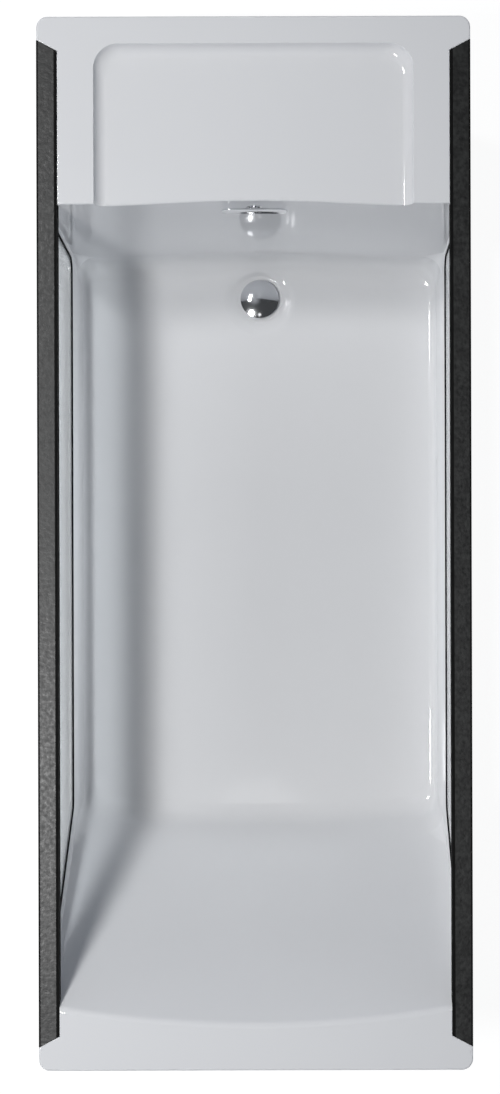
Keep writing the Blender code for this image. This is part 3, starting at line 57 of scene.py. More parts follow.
def addCamera(values):
    lens = bpy.data.cameras.new("photoCamera")
    lens.lens = values["lens"]
    lens.shift_x, lens.shift_y = values["shift"]
    lens.clip_end = values["farthest"]
    camera = bpy.data.objects.new("photoCamera", lens)
    bpy.context.scene.collection.objects.link(camera)
    camera.location = values["place"]
    camera.rotation_euler = (0, 0, values["roll"])
    bpy.context.scene.camera = camera


addCamera(cameraView)
print("camera placed")


# Modelling helpers

circleSteps = 64
mergeGap = 0.000001


def clearSelection():
    if bpy.context.object and bpy.context.object.mode != "OBJECT":
        bpy.ops.object.mode_set(mode="OBJECT")
    bpy.ops.object.select_all(action="DESELECT")


def activate(piece):
    clearSelection()
    piece.select_set(True)
    bpy.context.view_layer.objects.active = piece


def skinRings(name, rings, ends="capped"):
    # A grid primitive whose rows are laid on the rings, its seam merged and its ends filled
    clearSelection()
    columns, rows = len(rings[0]), len(rings) - 1
    closed = ends == "closed"
    if closed:
        rings = rings + [rings[0]]
        rows += 1
    bpy.ops.mesh.primitive_grid_add(x_subdivisions=columns, y_subdivisions=rows, size=1)
    piece = bpy.context.object
    piece.name = piece.data.name = name
    for vertex in piece.data.vertices:
        column = round((vertex.co.x + 0.5) * columns) % columns
        row = round((vertex.co.y + 0.5) * rows)
        vertex.co = rings[row][column]
    bpy.ops.object.mode_set(mode="EDIT")
    bpy.ops.mesh.select_all(action="SELECT")
    bpy.ops.mesh.remove_doubles(threshold=mergeGap)
    if not closed:
        bpy.ops.mesh.fill_holes(sides=0)
    bpy.ops.mesh.select_all(action="SELECT")
    bpy.ops.mesh.normals_make_consistent(inside=False)
    bpy.ops.object.mode_set(mode="OBJECT")
    return piece


def combine(piece, tool, operation):
    activate(piece)
    step = piece.modifiers.new("combine", "BOOLEAN")
    step.operation = operation
    step.solver = "EXACT"
    step.object = tool
    bpy.ops.object.modifier_apply(modifier=step.name)
    bpy.data.objects.remove(tool, do_unlink=True)


def bevelEdges(piece, width, steps, angle):
    activate(piece)
    bevel = piece.modifiers.new("bevel", "BEVEL")
    bevel.width = width
    bevel.segments = steps
    bevel.limit_method = "ANGLE"
    bevel.angle_limit = math.radians(angle)
    bpy.ops.object.modifier_apply(modifier=bevel.name)


def smoothShade(piece, angle):
    activate(piece)
    bpy.ops.object.shade_smooth_by_angle(angle=math.radians(angle))
    step = piece.modifiers.new("evenNormals", "WEIGHTED_NORMAL")
    step.keep_sharp = True
    bpy.ops.object.modifier_apply(modifier=step.name)


# Outlines, as lists of 2-D points that run anticlockwise


def roundedBox(halfX, halfY, radius, steps):
    points = []
    for turn, (sideX, sideY) in enumerate(((-1, -1), (1, -1), (1, 1), (-1, 1))):
        for step in range(steps + 1):
            angle = math.pi + math.pi / 2 * (turn + step / steps)
            x = sideX * (halfX - radius) + radius * math.cos(angle)
            y = sideY * (halfY - radius) + radius * math.sin(angle)
            points.append((x, y))
    return points


def roundedCorners(points, radii, steps):
    outline = []
    for index, (point, radius) in enumerate(zip(points, radii)):
        if radius <= 0:
            outline.append(point)
            continue
        here = Vector(point)
        back = (Vector(points[index - 1]) - here).normalized()
        ahead = (Vector(points[(index + 1) % len(points)]) - here).normalized()
        halfAngle = back.angle(ahead) / 2
        centre = here + (back + ahead).normalized() * (radius / math.sin(halfAngle))
        start = here + back * (radius / math.tan(halfAngle)) - centre
        end = here + ahead * (radius / math.tan(halfAngle)) - centre
        low, high = math.atan2(start.y, start.x), math.atan2(end.y, end.x)
        sweep = (high - low + math.pi) % math.tau - math.pi
        for step in range(steps + 1):
            angle = low + sweep * step / steps
            x = centre.x + radius * math.cos(angle)
            y = centre.y + radius * math.sin(angle)
            outline.append((x, y))
    return outline


def insetOutline(points, gap):
    lines = []
    for index, point in enumerate(points):
        here, after = Vector(point), Vector(points[(index + 1) % len(points)])
        inwards = Vector((here.y - after.y, after.x - here.x)).normalized() * gap
        lines.append((here + inwards, after + inwards))
    moved = []
    for index, (start, end) in enumerate(lines):
        before, beforeEnd = lines[index - 1]
        run, step = beforeEnd - before, end - start
        acrossX, acrossY = start.x - before.x, start.y - before.y
        share = (acrossX * step.y - acrossY * step.x) / (run.x * step.y - run.y * step.x)
        moved.append(tuple(before + run * share))
    return moved


def atHeight(outline, height):
    return [(x, y, height) for x, y in outline]


def mixed(low, high, share):
    return low + (high - low) * min(max(share, 0), 1)


def quarterRound(radius, steps):
    # How far in and how far down a rounded edge runs, from its side to its top
    angles = [math.pi / 2 * step / steps for step in range(steps + 1)]
    return [(radius * (1 - math.cos(angle)), radius * (1 - math.sin(angle))) for angle in angles]


# Shell: the same loft as its solid, with many more slices and steps

shell = {
    "halfLength": 0.850,
    "halfWidth": 0.350,
    "rim": 0.580,
    "well": 0.420,
    "wall": 0.008,
    "cornerRadius": 0.018,
    "rimRound": 0.003,
    "skirt": 0.030,
    "skirtWall": 0.010,
    "topHalf": 0.334,
    "baseHalf": 0.322,
    "sillDepth": 0.3295,
    "sideFillet": 0.016,
    "seatLine": 0.547,
    "seatThin": 0.003,
    "seatRun": 0.0005,
    "seatBow": 0.0095,
    "seatBowReach": 0.300,
    "headFillet": 0.060,
    "headCurve": 2.79,
    "headLip": 0.003,
    "footLine": -0.450,
    "backRun": 0.2955,
    "backFloorBow": 0.0205,
    "backTopBow": 0.030,
    "backFillet": 0.050,
    "backLip": 0.015,
    "topCorner": 0.002,
    "baseCorner": 0.034,
    "bowSteps": 40,
    "cornerSteps": 8,
    "rimCornerSteps": 12,
    "rimRoundSteps": 8,
    "lipSlices": 10,
    "filletSlices": 26,
    "meetRounds": 12,
    "sharpAngle": 33,
}
recess = {
    "half": 0.258,
    "depth": 0.016,
    "border": 0.044,
    "corner": 0.040,
    "run": 0.006,
    "fillet": 0.018,
    "lip": 0.0008,
    "frontRound": 0.003,
    "slices": 26,
    "cornerSteps": 16,
    "frontSteps": 16,
    "frontRoundSteps": 12,
}
drain = {
    "y": 0.482,
    "hole": 0.026,
    "seat": 0.038,
    "dish": 0.068,
    "nearDish": 0.054,
    "brink": 0.0412,
    "brinkRise": 0.0008,
    "brinkKnee": (0.0008, 0.0001),
    "brinkHeel": (0.0003, 0.0005),
    "above": 0.0003,
    "drop": 0.004,
    "boss": 0.046,
    "steps": 96,
    "slices": 10,
}
overflow = {"level": 0.5195, "hole": 0.0135}
rebate = {
    "inner": 0.3165,
    "depth": 0.0203,
    "mitreOuter": 0.0378,
    "mitreInner": 0.0556,
    "brink": 0.0012,
    "brinkSteps": 6,
}
window = {
    "plane": 0.334,
    "glass": 0.008,
    "sill": 0.2505,
    "foot": -0.4455,
    "head": 0.5366,
    "headTop": 0.5370,
    "footTop": -0.7237,
    "top": 0.570,
    "corner": 0.025,
    "seal": 0.003,
    "gap": 0.0003,
    "proud": 0.0015,
    "lipRound": 0.0006,
    "arris": 0.0006,
    "arrisSteps": 3,
    "arrisAngle": 60,
    "clear": 0.0005,
    "cornerSteps": 16,
    "sharpAngle": 20,
}
past = 0.010  # how far a cutting tool runs past what it cuts
bite = 0.004  # how deep a joined body starts inside the next one
hair = 0.00001  # keeps two rings from falling together


def wallReach(depth, fullDepth, run, grow, lip, fillet):
    # How far a leaning wall with a rolled lip and a foot fillet stands out from its floor line
    lean = math.atan(run / fullDepth)
    turn = math.pi / 2 - lean
    slope = math.tan(lean)
    shift = grow / math.cos(lean)
    reach = slope * (fullDepth - depth) + shift
    radius = fillet + grow
    height = fullDepth + grow - depth
    if fillet and height < radius * (1 - math.cos(turn)):
        chord = math.sqrt(max(radius**2 - (radius - height) ** 2, 0))
        reach = shift - slope * grow - radius * math.tan(turn / 2) + chord
    if lip and depth < lip * (1 - math.cos(turn)):
        chord = math.sqrt(max(lip**2 - (lip - max(depth, 0)) ** 2, 0))
        reach = slope * fullDepth + shift + lip * math.tan(turn / 2) - chord
    return reach


def softRise(reach, radius):
    # Height of the seat wall's foot fillet, whose bend starts and ends gently
    curve = shell["headCurve"]
    share = min(max(reach / radius, 0), 1)
    return radius * (1 - (1 - share**curve) ** (1 / curve))


def headBow(x):
    # The seat wall runs straight at its sides and swells back in the middle
    return shell["seatBow"] * (1 + math.cos(math.pi * min(abs(x) / shell["seatBowReach"], 1))) / 2


def bowedEnds(half, head, foot, footBow, corner):
    # An outline with straight sides and bowed ends, each ring with as many points as the next
    s = shell

    def bow(end, x):
        return headBow(x) if end > 0 else footBow * (1 - (x / half) ** 2)

    points = []
    for end, line in ((1, head), (-1, foot)):
        meet, lean = half - corner, 0
        for _ in range(s["meetRounds"] if end < 0 else 0):
            # settles where the corner meets the bow
            lean = math.atan(2 * footBow * meet / half**2)
            meet = half - corner + corner * math.sin(lean)
        curve = line + end * bow(end, meet)
        centre = curve - end * corner * math.cos(lean)
        turn = math.pi / 2 - lean
        quarter = []
        for step in range(s["cornerSteps"] + 1):
            angle = turn * step / s["cornerSteps"]
            x = half - corner + corner * math.cos(angle)
            quarter.append((x, centre + end * corner * math.sin(angle)))
        bowed = []
        for step in range(1, s["bowSteps"]):
            x = meet * (1 - 2 * step / s["bowSteps"])
            bowed.append((x, line + end * bow(end, x)))
        side = quarter + bowed + [(-x, y) for x, y in reversed(quarter)]
        points += [(end * x, y) for x, y in side]
    return points


def wellOutline(depth, grow=0, lips=True):
    s = shell
    sideRun = (s["topHalf"] - s["baseHalf"]) * s["well"] / (s["well"] - s["sillDepth"])
    sideReach = wallReach(depth, s["well"], sideRun, grow, 0, s["sideFillet"])
    half = min(s["baseHalf"] + sideReach, s["topHalf"] + grow)
    headLip, footLip = (s["headLip"], s["backLip"]) if lips else (0, 0)
    headReach = wallReach(depth, s["well"], s["seatRun"], grow, headLip, 0)
    foot = s["headFillet"] + grow
    headReach -= softRise(foot - (s["well"] + grow - depth), foot)
    footReach = wallReach(depth, s["well"], s["backRun"], grow, footLip, s["backFillet"])
    footBow = mixed(s["backTopBow"], s["backFloorBow"], depth / s["well"])
    belowSill = (depth - s["sillDepth"]) / (s["well"] - s["headFillet"] - s["sillDepth"])
    corner = mixed(s["topCorner"], s["baseCorner"], belowSill) + grow
    head = s["seatLine"] - s["seatRun"] + headReach - (s["seatThin"] if grow else 0)
    return bowedEnds(half, head, s["footLine"] - footReach, footBow, corner)


def wellDepths(grow, topDepths):
    s = shell
    zone = s["headFillet"] + grow
    depths = list(topDepths) + [s["sillDepth"]]
    for step in range(s["filletSlices"] + 1):
        angle = math.pi / 2 * (1 - step / s["filletSlices"])
        depths.append(s["well"] + grow - zone * (1 - math.cos(angle)))
    return depths


def makeWell():
    s = shell
    lean = math.atan(s["backRun"] / s["well"])
    zone = s["backLip"] * (1 - math.sin(lean))
    lipDepths = [zone * (step / s["lipSlices"]) ** 2 for step in range(s["lipSlices"] + 1)]
    depths = wellDepths(0, lipDepths)
    rings = [atHeight(wellOutline(0), s["rim"] + past)]
    rings += [atHeight(wellOutline(depth), s["rim"] - depth) for depth in depths]
    return skinRings("wellTool", rings)


def makeRimTray():
    s = shell

    def ring(inset, depth):
        radius = max(s["cornerRadius"] - inset, s["rimRound"])
        halfX, halfY = s["halfWidth"] - inset, s["halfLength"] - inset
        return atHeight(roundedBox(halfX, halfY, radius, s["rimCornerSteps"]), s["rim"] - depth)

    rings = [ring(s["skirtWall"], s["wall"]), ring(s["skirtWall"], s["skirt"]), ring(0, s["skirt"])]
    for inset, depth in quarterRound(s["rimRound"], s["rimRoundSteps"]):
        rings.append(ring(inset, depth))
    return skinRings("rimTray", rings)


def recessOutline(depth, grow, front):
    r = recess
    lip = 0 if grow else r["lip"]
    reach = wallReach(depth, r["depth"], r["run"], grow, lip, r["fillet"])
    half = r["half"] - r["run"] + reach
    head = shell["halfLength"] - r["border"] - r["run"] + reach
    corner = r["corner"] + grow
    points = [(-half, front), (half, front), (half, head), (-half, head)]
    return roundedCorners(points, [0, 0, corner, corner], r["cornerSteps"])


def makeRecess(grow):
    # The recess itself, or with a grow the body of wall that is moulded round it
    r = recess
    s = shell
    slices = range(r["slices"] + 1)
    if grow:
        front = s["seatLine"] + bite
        depths = [mixed(bite, r["depth"] + grow, step / r["slices"]) for step in slices]
        rings = [atHeight(recessOutline(depth, grow, front), s["rim"] - depth) for depth in depths]
        return skinRings("recessBody", rings)
    front = s["seatLine"] - past
    depths = [r["depth"] * (1 - math.cos(math.pi * step / r["slices"])) / 2 for step in slices]
    rings = [atHeight(recessOutline(0, 0, front), s["rim"] + past)]
    rings += [atHeight(recessOutline(depth, 0, front), s["rim"] - depth) for depth in depths]
    return skinRings("recessTool", rings)


def makeSeatFront():
    # Rounds the seat's front edge, along the bow of the seat wall
    r = recess
    radius = r["frontRound"]
    lean = math.atan(r["run"] / r["depth"])
    half = r["half"] - r["run"] - r["fillet"] * math.tan((math.pi / 2 - lean) / 2)
    seat = shell["rim"] - r["depth"]
    rings = []
    for step in range(2 * r["frontSteps"] + 1):
        x = half * (1 - step / r["frontSteps"])
        wall = shell["seatLine"] + headBow(x)
        profile = [(wall - radius, seat + radius), (wall - radius, seat - radius)]
        for inset, depth in quarterRound(radius, r["frontRoundSteps"]):
            profile.append((wall + inset, seat - depth))
        profile.append((wall + radius, seat + radius))
        rings.append([(x, y, z) for y, z in profile])
    return skinRings("seatFrontTool", rings)


def mitreY(x):
    slope = (rebate["mitreInner"] - rebate["mitreOuter"]) / (shell["halfWidth"] - rebate["inner"])
    return shell["halfLength"] - rebate["mitreOuter"] - (shell["halfWidth"] - x) * slope


def sided(points, side):
    return points if side > 0 else [(-x, y) for x, y in reversed(points)]


def prismZ(name, outline, low, high):
    return skinRings(name, [atHeight(outline, low), atHeight(outline, high)])


def prismX(name, outline, low, high):
    return skinRings(name, [[(level, y, z) for y, z in outline] for level in (low, high)])


def makeShoulder(side, end):
    inner = rebate["inner"] - shell["wall"]
    outer = shell["halfWidth"] - shell["skirtWall"] / 2
    reach = mitreY(outer) + shell["wall"]
    near, far = shell["seatLine"] + bite, reach
    if end < 0:
        near, far = -reach, shell["footLine"] - shell["backRun"]
    outline = [(inner, near), (outer, near), (outer, far), (inner, far)]
    low = shell["rim"] - rebate["depth"] - shell["wall"]
    return prismZ("shoulder", sided(outline, side), low, shell["rim"] - bite)


def makeRebate(side):
    outer = shell["halfWidth"] + past
    innerY, outerY = mitreY(rebate["inner"]), mitreY(outer)
    inner = rebate["inner"]
    outline = [(inner, -innerY), (outer, -outerY), (outer, outerY), (inner, innerY)]
    rings = [atHeight(sided(outline, side), shell["rim"] - rebate["depth"])]
    for step, (spread, depth) in enumerate(quarterRound(rebate["brink"], rebate["brinkSteps"])):
        wider = insetOutline(outline, -spread - hair * step)
        rings.append(atHeight(sided(wider, side), shell["rim"] - depth))
    rings.append(atHeight(sided(wider, side), shell["rim"] + past))
    return skinRings("rebateTool", rings)


def windowOutline(inset):
    w = window
    points = [(w["foot"], w["sill"]), (w["head"], w["sill"])]
    points += [(w["headTop"], w["top"]), (w["footTop"], w["top"])]
    corner = w["corner"] - inset
    return roundedCorners(insetOutline(points, inset), [corner, corner, 0, 0], w["cornerSteps"])


def makeWindowHole(side):
    low = shell["baseHalf"] - shell["wall"]
    high = window["plane"] + window["glass"] + window["clear"]
    return prismX("windowTool", windowOutline(0), *sorted((side * low, side * high)))


def makeDish():
    # The step round the flange and the shallow dish outside it
    d = drain
    flat = shell["seatLine"] - shell["seatRun"] + shell["seatBow"] - shell["headFillet"] - d["y"]
    floor = shell["rim"] - shell["well"]
    (kneeIn, kneeUp), (heelIn, heelDown) = d["brinkKnee"], d["brinkHeel"]
    low = d["brinkRise"] - d["drop"]
    columns = []
    for step in range(d["steps"]):
        angle = math.tau * step / d["steps"]
        reach = d["dish"] - (d["dish"] - d["nearDish"]) * max(math.sin(angle), 0) ** 2
        lift = softRise(reach * math.sin(angle) - flat, shell["headFillet"])
        profile = [(d["seat"], -d["drop"]), (d["brink"] - kneeIn, -d["drop"] + kneeUp)]
        profile.append((d["brink"] - heelIn, low - heelDown))
        for part in range(d["slices"] + 1):
            out = part / d["slices"]
            rise = out + math.sin(math.tau * out) / math.tau * (out - 1)
            height = low + (lift + d["above"] - low) * rise
            profile.append((mixed(d["brink"], reach, out), height))
        profile.append((reach, lift + past))
        column = []
        for radius, height in profile:
            x, y = radius * math.cos(angle), d["y"] + radius * math.sin(angle)
            column.append((x, y, floor + height))
        columns.append(column)
    return skinRings("dishTool", list(zip(*columns)))


def makeCylinder(name, radius, low, high, centre, axis="Z"):
    clearSelection()
    turned = (math.pi / 2, 0, 0) if axis == "Y" else (0, 0, 0)
    middle = (low + high) / 2
    place = (centre[0], middle, centre[2]) if axis == "Y" else (centre[0], centre[1], middle)
    bpy.ops.mesh.primitive_cylinder_add(
        vertices=circleSteps, radius=radius, depth=high - low, location=place, rotation=turned
    )
    piece = bpy.context.object
    piece.name = name
    bpy.ops.object.transform_apply(location=True, rotation=True, scale=True)
    return piece


def makeShell():
    s = shell
    outer = []
    for depth in wellDepths(s["wall"], [bite]):
        outer.append(atHeight(wellOutline(depth, s["wall"], False), s["rim"] - depth))
    piece = skinRings("bathShell", outer)
    floor = s["rim"] - s["well"]
    under = floor - s["wall"] - drain["drop"]
    drainPlace = (0, drain["y"], 0)
    combine(piece, makeRimTray(), "UNION")
    combine(piece, makeRecess(s["wall"]), "UNION")
    boss = makeCylinder("boss", drain["boss"], under, floor - s["wall"] / 2, drainPlace)
    combine(piece, boss, "UNION")
    for side, end in ((1, 1), (-1, 1), (1, -1), (-1, -1)):
        combine(piece, makeShoulder(side, end), "UNION")
    for tool in (makeWell(), makeRecess(0), makeSeatFront(), makeDish()):
        combine(piece, tool, "DIFFERENCE")
    for side in (1, -1):
        combine(piece, makeRebate(side), "DIFFERENCE")
        combine(piece, makeWindowHole(side), "DIFFERENCE")
    waste = makeCylinder("drainHole", drain["hole"], under - past, floor + past, drainPlace)
    combine(piece, waste, "DIFFERENCE")
    wall = s["seatLine"] + s["seatBow"] - s["seatRun"] / s["well"] * (s["rim"] - overflow["level"])
    place, far = (0, 0, overflow["level"]), wall + s["wall"] + past
    hole = makeCylinder("holeTool", overflow["hole"], wall - past, far, place, "Y")
    combine(piece, hole, "DIFFERENCE")
    smoothShade(piece, s["sharpAngle"])
    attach(piece, "root")
    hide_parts("tub_shell")
    return piece


bathShell = makeShell()
print("shell:", len(bathShell.data.polygons), "faces")


# Windows: a pane and the black seal round it in each long side


def makePane(name, side):
    inset = window["seal"] + 2 * window["gap"]
    near, far = window["plane"], window["plane"] + window["glass"]
    pane = prismX("windowPane." + name, windowOutline(inset), *sorted((side * near, side * far)))
    bevelEdges(pane, window["arris"], window["arrisSteps"], window["arrisAngle"])
    smoothShade(pane, window["sharpAngle"])
    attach(pane, "root")
    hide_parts("glass_pane_" + name)
    return pane


def makeSeal(name, side):
    w = window
    near, far = w["plane"] - w["proud"], w["plane"] + w["glass"]
    low, high, edge = w["gap"], w["gap"] + w["seal"], w["lipRound"]
    soft = edge * 0.3
    rings = []
    section = [(low, far), (low, near + edge), (low + soft, near + soft), (low + edge, near)]
    section += [(high - edge, near), (high - soft, near + soft), (high, near + edge), (high, far)]
    for inset, level in section:
        rings.append([(side * level, y, z) for y, z in windowOutline(inset)])
    seal = skinRings("windowSeal." + name, rings, "closed")
    smoothShade(seal, w["sharpAngle"])
    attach(seal, "root")
    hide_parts("glass_seal_" + name)
    return seal


windowPanes = [makePane("left", -1), makePane("right", 1)]
windowSeals = [makeSeal("left", -1), makeSeal("right", 1)]
print("windows made")


# Rim bars: a black profile with a slate inlay between its two edges, grooved below for the glass

bar = {
    "inner": 0.3188,
    "low": 0.560,
    "chamfer": 0.0006,
    "chamferSteps": 3,
    "chamferAngle": 40,
    "edge": 0.0030,
    "grooveTop": 0.570,
    "sharpAngle": 25,
}


def makeBar(name, side):
    inner, outer, gap = bar["inner"], shell["halfWidth"], window["gap"]
    innerY, outerY = mitreY(inner) - gap, mitreY(outer) - gap
    outline = [(inner, -innerY), (outer, -outerY), (outer, outerY), (inner, innerY)]
    piece = prismZ("rimBar." + name, sided(outline, side), bar["low"], shell["rim"])
    grooveIn = window["plane"] - window["proud"] - gap
    grooveOut = window["plane"] + window["glass"] + gap
    left, right = sorted((side * grooveIn, side * grooveOut))
    foot, head = window["footTop"] - gap, window["headTop"] + gap
    groove = [(left, foot), (right, foot), (right, head), (left, head)]
    combine(piece, prismZ("grooveTool", groove, bar["low"] - past, bar["grooveTop"]), "DIFFERENCE")
    bevelEdges(piece, bar["chamfer"], bar["chamferSteps"], bar["chamferAngle"])
    bpy.ops.object.mode_set(mode="EDIT")
    for x in (inner + bar["edge"], outer - bar["edge"]):
        bpy.ops.mesh.select_all(action="SELECT")
        bpy.ops.mesh.bisect(plane_co=(side * x, 0, 0), plane_no=(1, 0, 0))
    bpy.ops.object.mode_set(mode="OBJECT")
    smoothShade(piece, bar["sharpAngle"])
    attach(piece, "root")
    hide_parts("rim_bar_" + name)
    return piece


rimBars = [makeBar("left", -1), makeBar("right", 1)]
print("bars made")


# Plug dome and overflow cover in chrome

plug = {
    "y": 0.482,
    "low": 0.1627,
    "radius": 0.035,
    "edge": 0.0022,
    "crown": 0.0055,
    "bore": 0.0043,
    "boreDepth": 0.004,
    "hub": 0.008,
    "hollow": 0.0011,
    "lip": 0.0022,
    "arris": 0.0004,
    "steps": 96,
    "slices": 20,
    "sharpAngle": 35,
}


def makePlug():
    v = plug
    sphere = (v["radius"] ** 2 + v["crown"] ** 2) / (2 * v["crown"])
    opening = math.asin(v["radius"] / sphere)
    top = v["low"] + v["edge"] + v["crown"]
    profile = [(v["bore"], v["low"] + v["boreDepth"]), (v["bore"], v["low"])]
    profile += [(v["hub"], v["low"]), (v["hub"], v["low"] + v["edge"])]
    lipStart = v["radius"] - v["lip"]
    profile += [(lipStart, v["low"] + v["hollow"]), (lipStart, v["low"])]
    profile += [(v["radius"] - v["arris"], v["low"]), (v["radius"], v["low"] + v["arris"])]
    for step in range(v["slices"]):
        angle = opening * (1 - step / v["slices"])
        profile.append((sphere * math.sin(angle), top - sphere * (1 - math.cos(angle))))
    clearSelection()
    radius, height = profile[0]
    bpy.ops.mesh.primitive_circle_add(
        vertices=v["steps"], radius=radius, fill_type="NGON", location=(0, v["y"], height)
    )
    piece = bpy.context.object
    piece.name = "plugDome"
    bpy.ops.object.mode_set(mode="EDIT")
    bpy.ops.mesh.select_mode(type="EDGE")
    bpy.ops.mesh.select_all(action="SELECT")
    for nextRadius, nextHeight in profile[1:]:
        lift = (0, 0, nextHeight - height)
        bpy.ops.mesh.extrude_region_move(TRANSFORM_OT_translate={"value": lift})
        share = nextRadius / radius
        bpy.ops.transform.resize(value=(share, share, 1), center_override=(0, v["y"], nextHeight))
        radius, height = nextRadius, nextHeight
    bpy.ops.mesh.extrude_region_move(TRANSFORM_OT_translate={"value": (0, 0, top - height)})
    bpy.ops.mesh.merge(type="CENTER")
    bpy.ops.mesh.select_all(action="SELECT")
    bpy.ops.mesh.normals_make_consistent(inside=False)
    bpy.ops.object.mode_set(mode="OBJECT")
    bpy.ops.object.transform_apply(location=True, rotation=True, scale=True)
    smoothShade(piece, v["sharpAngle"])
    # keeps its glints off the white round it
    piece.visible_diffuse = False
    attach(piece, "plug")
    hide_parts("plug_dome")
    return piece


cover = {
    "width": 0.108,
    "height": 0.028,
    "front": 0.54933,
    "back": 0.55213,
    "crown": 0.0004,
    "centre": 0.0001,
    "round": 0.0003,
    "steps": 24,
    "faceRings": 12,
    "roundSteps": 8,
    "neck": 0.005,
    "collar": 0.009,
    "collarStart": 0.5568,
    "collarEnd": 0.55763,
    "stem": 0.004,
    "sharpAngle": 35,
}


def makeCover():
    v = cover

    def ring(inset, y):
        half = v["height"] / 2 - inset
        outline = roundedBox(v["width"] / 2 - inset, half, half - hair, v["steps"])
        return [(x, y, overflow["level"] + z) for x, z in outline]

    rings = []
    face = v["height"] / 2 - v["round"]
    for step in range(v["faceRings"]):
        out = step / v["faceRings"]
        inset = v["height"] / 2 - face * out - v["centre"] * (1 - out)
        rings.append(ring(inset, v["front"] + v["crown"] * out**2))
    edge = v["front"] + v["crown"]
    for depth, inset in quarterRound(v["round"], v["roundSteps"]):
        rings.append(ring(inset, edge + depth))
    for inset, depth in quarterRound(v["round"], v["roundSteps"]):
        rings.append(ring(inset, v["back"] - depth))
    piece = skinRings("overflowCover", rings)
    middle, collarEnd = (v["front"] + v["back"]) / 2, v["collarEnd"]
    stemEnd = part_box("overflow_cover")[1].y
    place = (0, 0, overflow["level"])
    for radius, near, far in (
        (v["neck"], middle, collarEnd),
        (v["collar"], v["collarStart"], collarEnd),
        (v["stem"], middle, stemEnd),
    ):
        combine(piece, makeCylinder("stemTool", radius, near, far, place, "Y"), "UNION")
    smoothShade(piece, v["sharpAngle"])
    # keeps its shadow and its glints off the wall behind it
    piece.visible_shadow = piece.visible_diffuse = False
    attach(piece, "root")
    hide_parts("overflow_cover")
    return piece


plugDome = makePlug()
overflowCover = makeCover()
print("chrome pieces made")


# Materials, all on object coordinates, which are metres in the bath's own frame

plainFinish = {
    "stretch": (1, 1, 1),
    "broadDetail": 4,
    "fineDetail": 6,
    "toneFrom": 0.3,
    "toneTo": 0.7,
    "bumpDepth": 0.0002,
    "metallic": 0,
    "ior": 1.5,
    "specular": 0.5,
}


def tonedMaterial(name, values):
    v = {**plainFinish, **values}
    material = bpy.data.materials.new(name)
    material.use_nodes = True
    nodes, links = material.node_tree.nodes, material.node_tree.links
    shader = nodes["Principled BSDF"]
    place = nodes.new("ShaderNodeTexCoord")
    stretch = nodes.new("ShaderNodeMapping")
    stretch.inputs["Scale"].default_value = v["stretch"]
    links.new(place.outputs["Object"], stretch.inputs["Vector"])
    noises = []
    for scale, detail in ((v["broad"], v["broadDetail"]), (v["fine"], v["fineDetail"])):
        noise = nodes.new("ShaderNodeTexNoise")
        noise.inputs["Scale"].default_value = scale
        noise.inputs["Detail"].default_value = detail
        links.new(stretch.outputs["Vector"], noise.inputs["Vector"])
        noises.append(noise)
    tone = nodes.new("ShaderNodeValToRGB")
    tone.color_ramp.elements[0].position = v["toneFrom"]
    tone.color_ramp.elements[1].position = v["toneTo"]
    tone.color_ramp.elements[0].color = (*v["dark"], 1)
    tone.color_ramp.elements[1].color = (*v["light"], 1)
    links.new(noises[0].outputs["Fac"], tone.inputs["Fac"])
    links.new(tone.outputs["Color"], shader.inputs["Base Color"])
    rough = nodes.new("ShaderNodeMapRange")
    rough.inputs["To Min"].default_value = v["roughness"][0]
    rough.inputs["To Max"].default_value = v["roughness"][1]
    links.new(noises[1].outputs["Fac"], rough.inputs["Value"])
    links.new(rough.outputs["Result"], shader.inputs["Roughness"])
    bump = nodes.new("ShaderNodeBump")
    bump.inputs["Strength"].default_value = v["bump"]
    bump.inputs["Distance"].default_value = v["bumpDepth"]
    links.new(noises[1].outputs["Fac"], bump.inputs["Height"])
    links.new(bump.outputs["Normal"], shader.inputs["Normal"])
    shader.inputs["Metallic"].default_value = v["metallic"]
    shader.inputs["IOR"].default_value = v["ior"]
    shader.inputs["Specular IOR Level"].default_value = v["specular"]
    return material


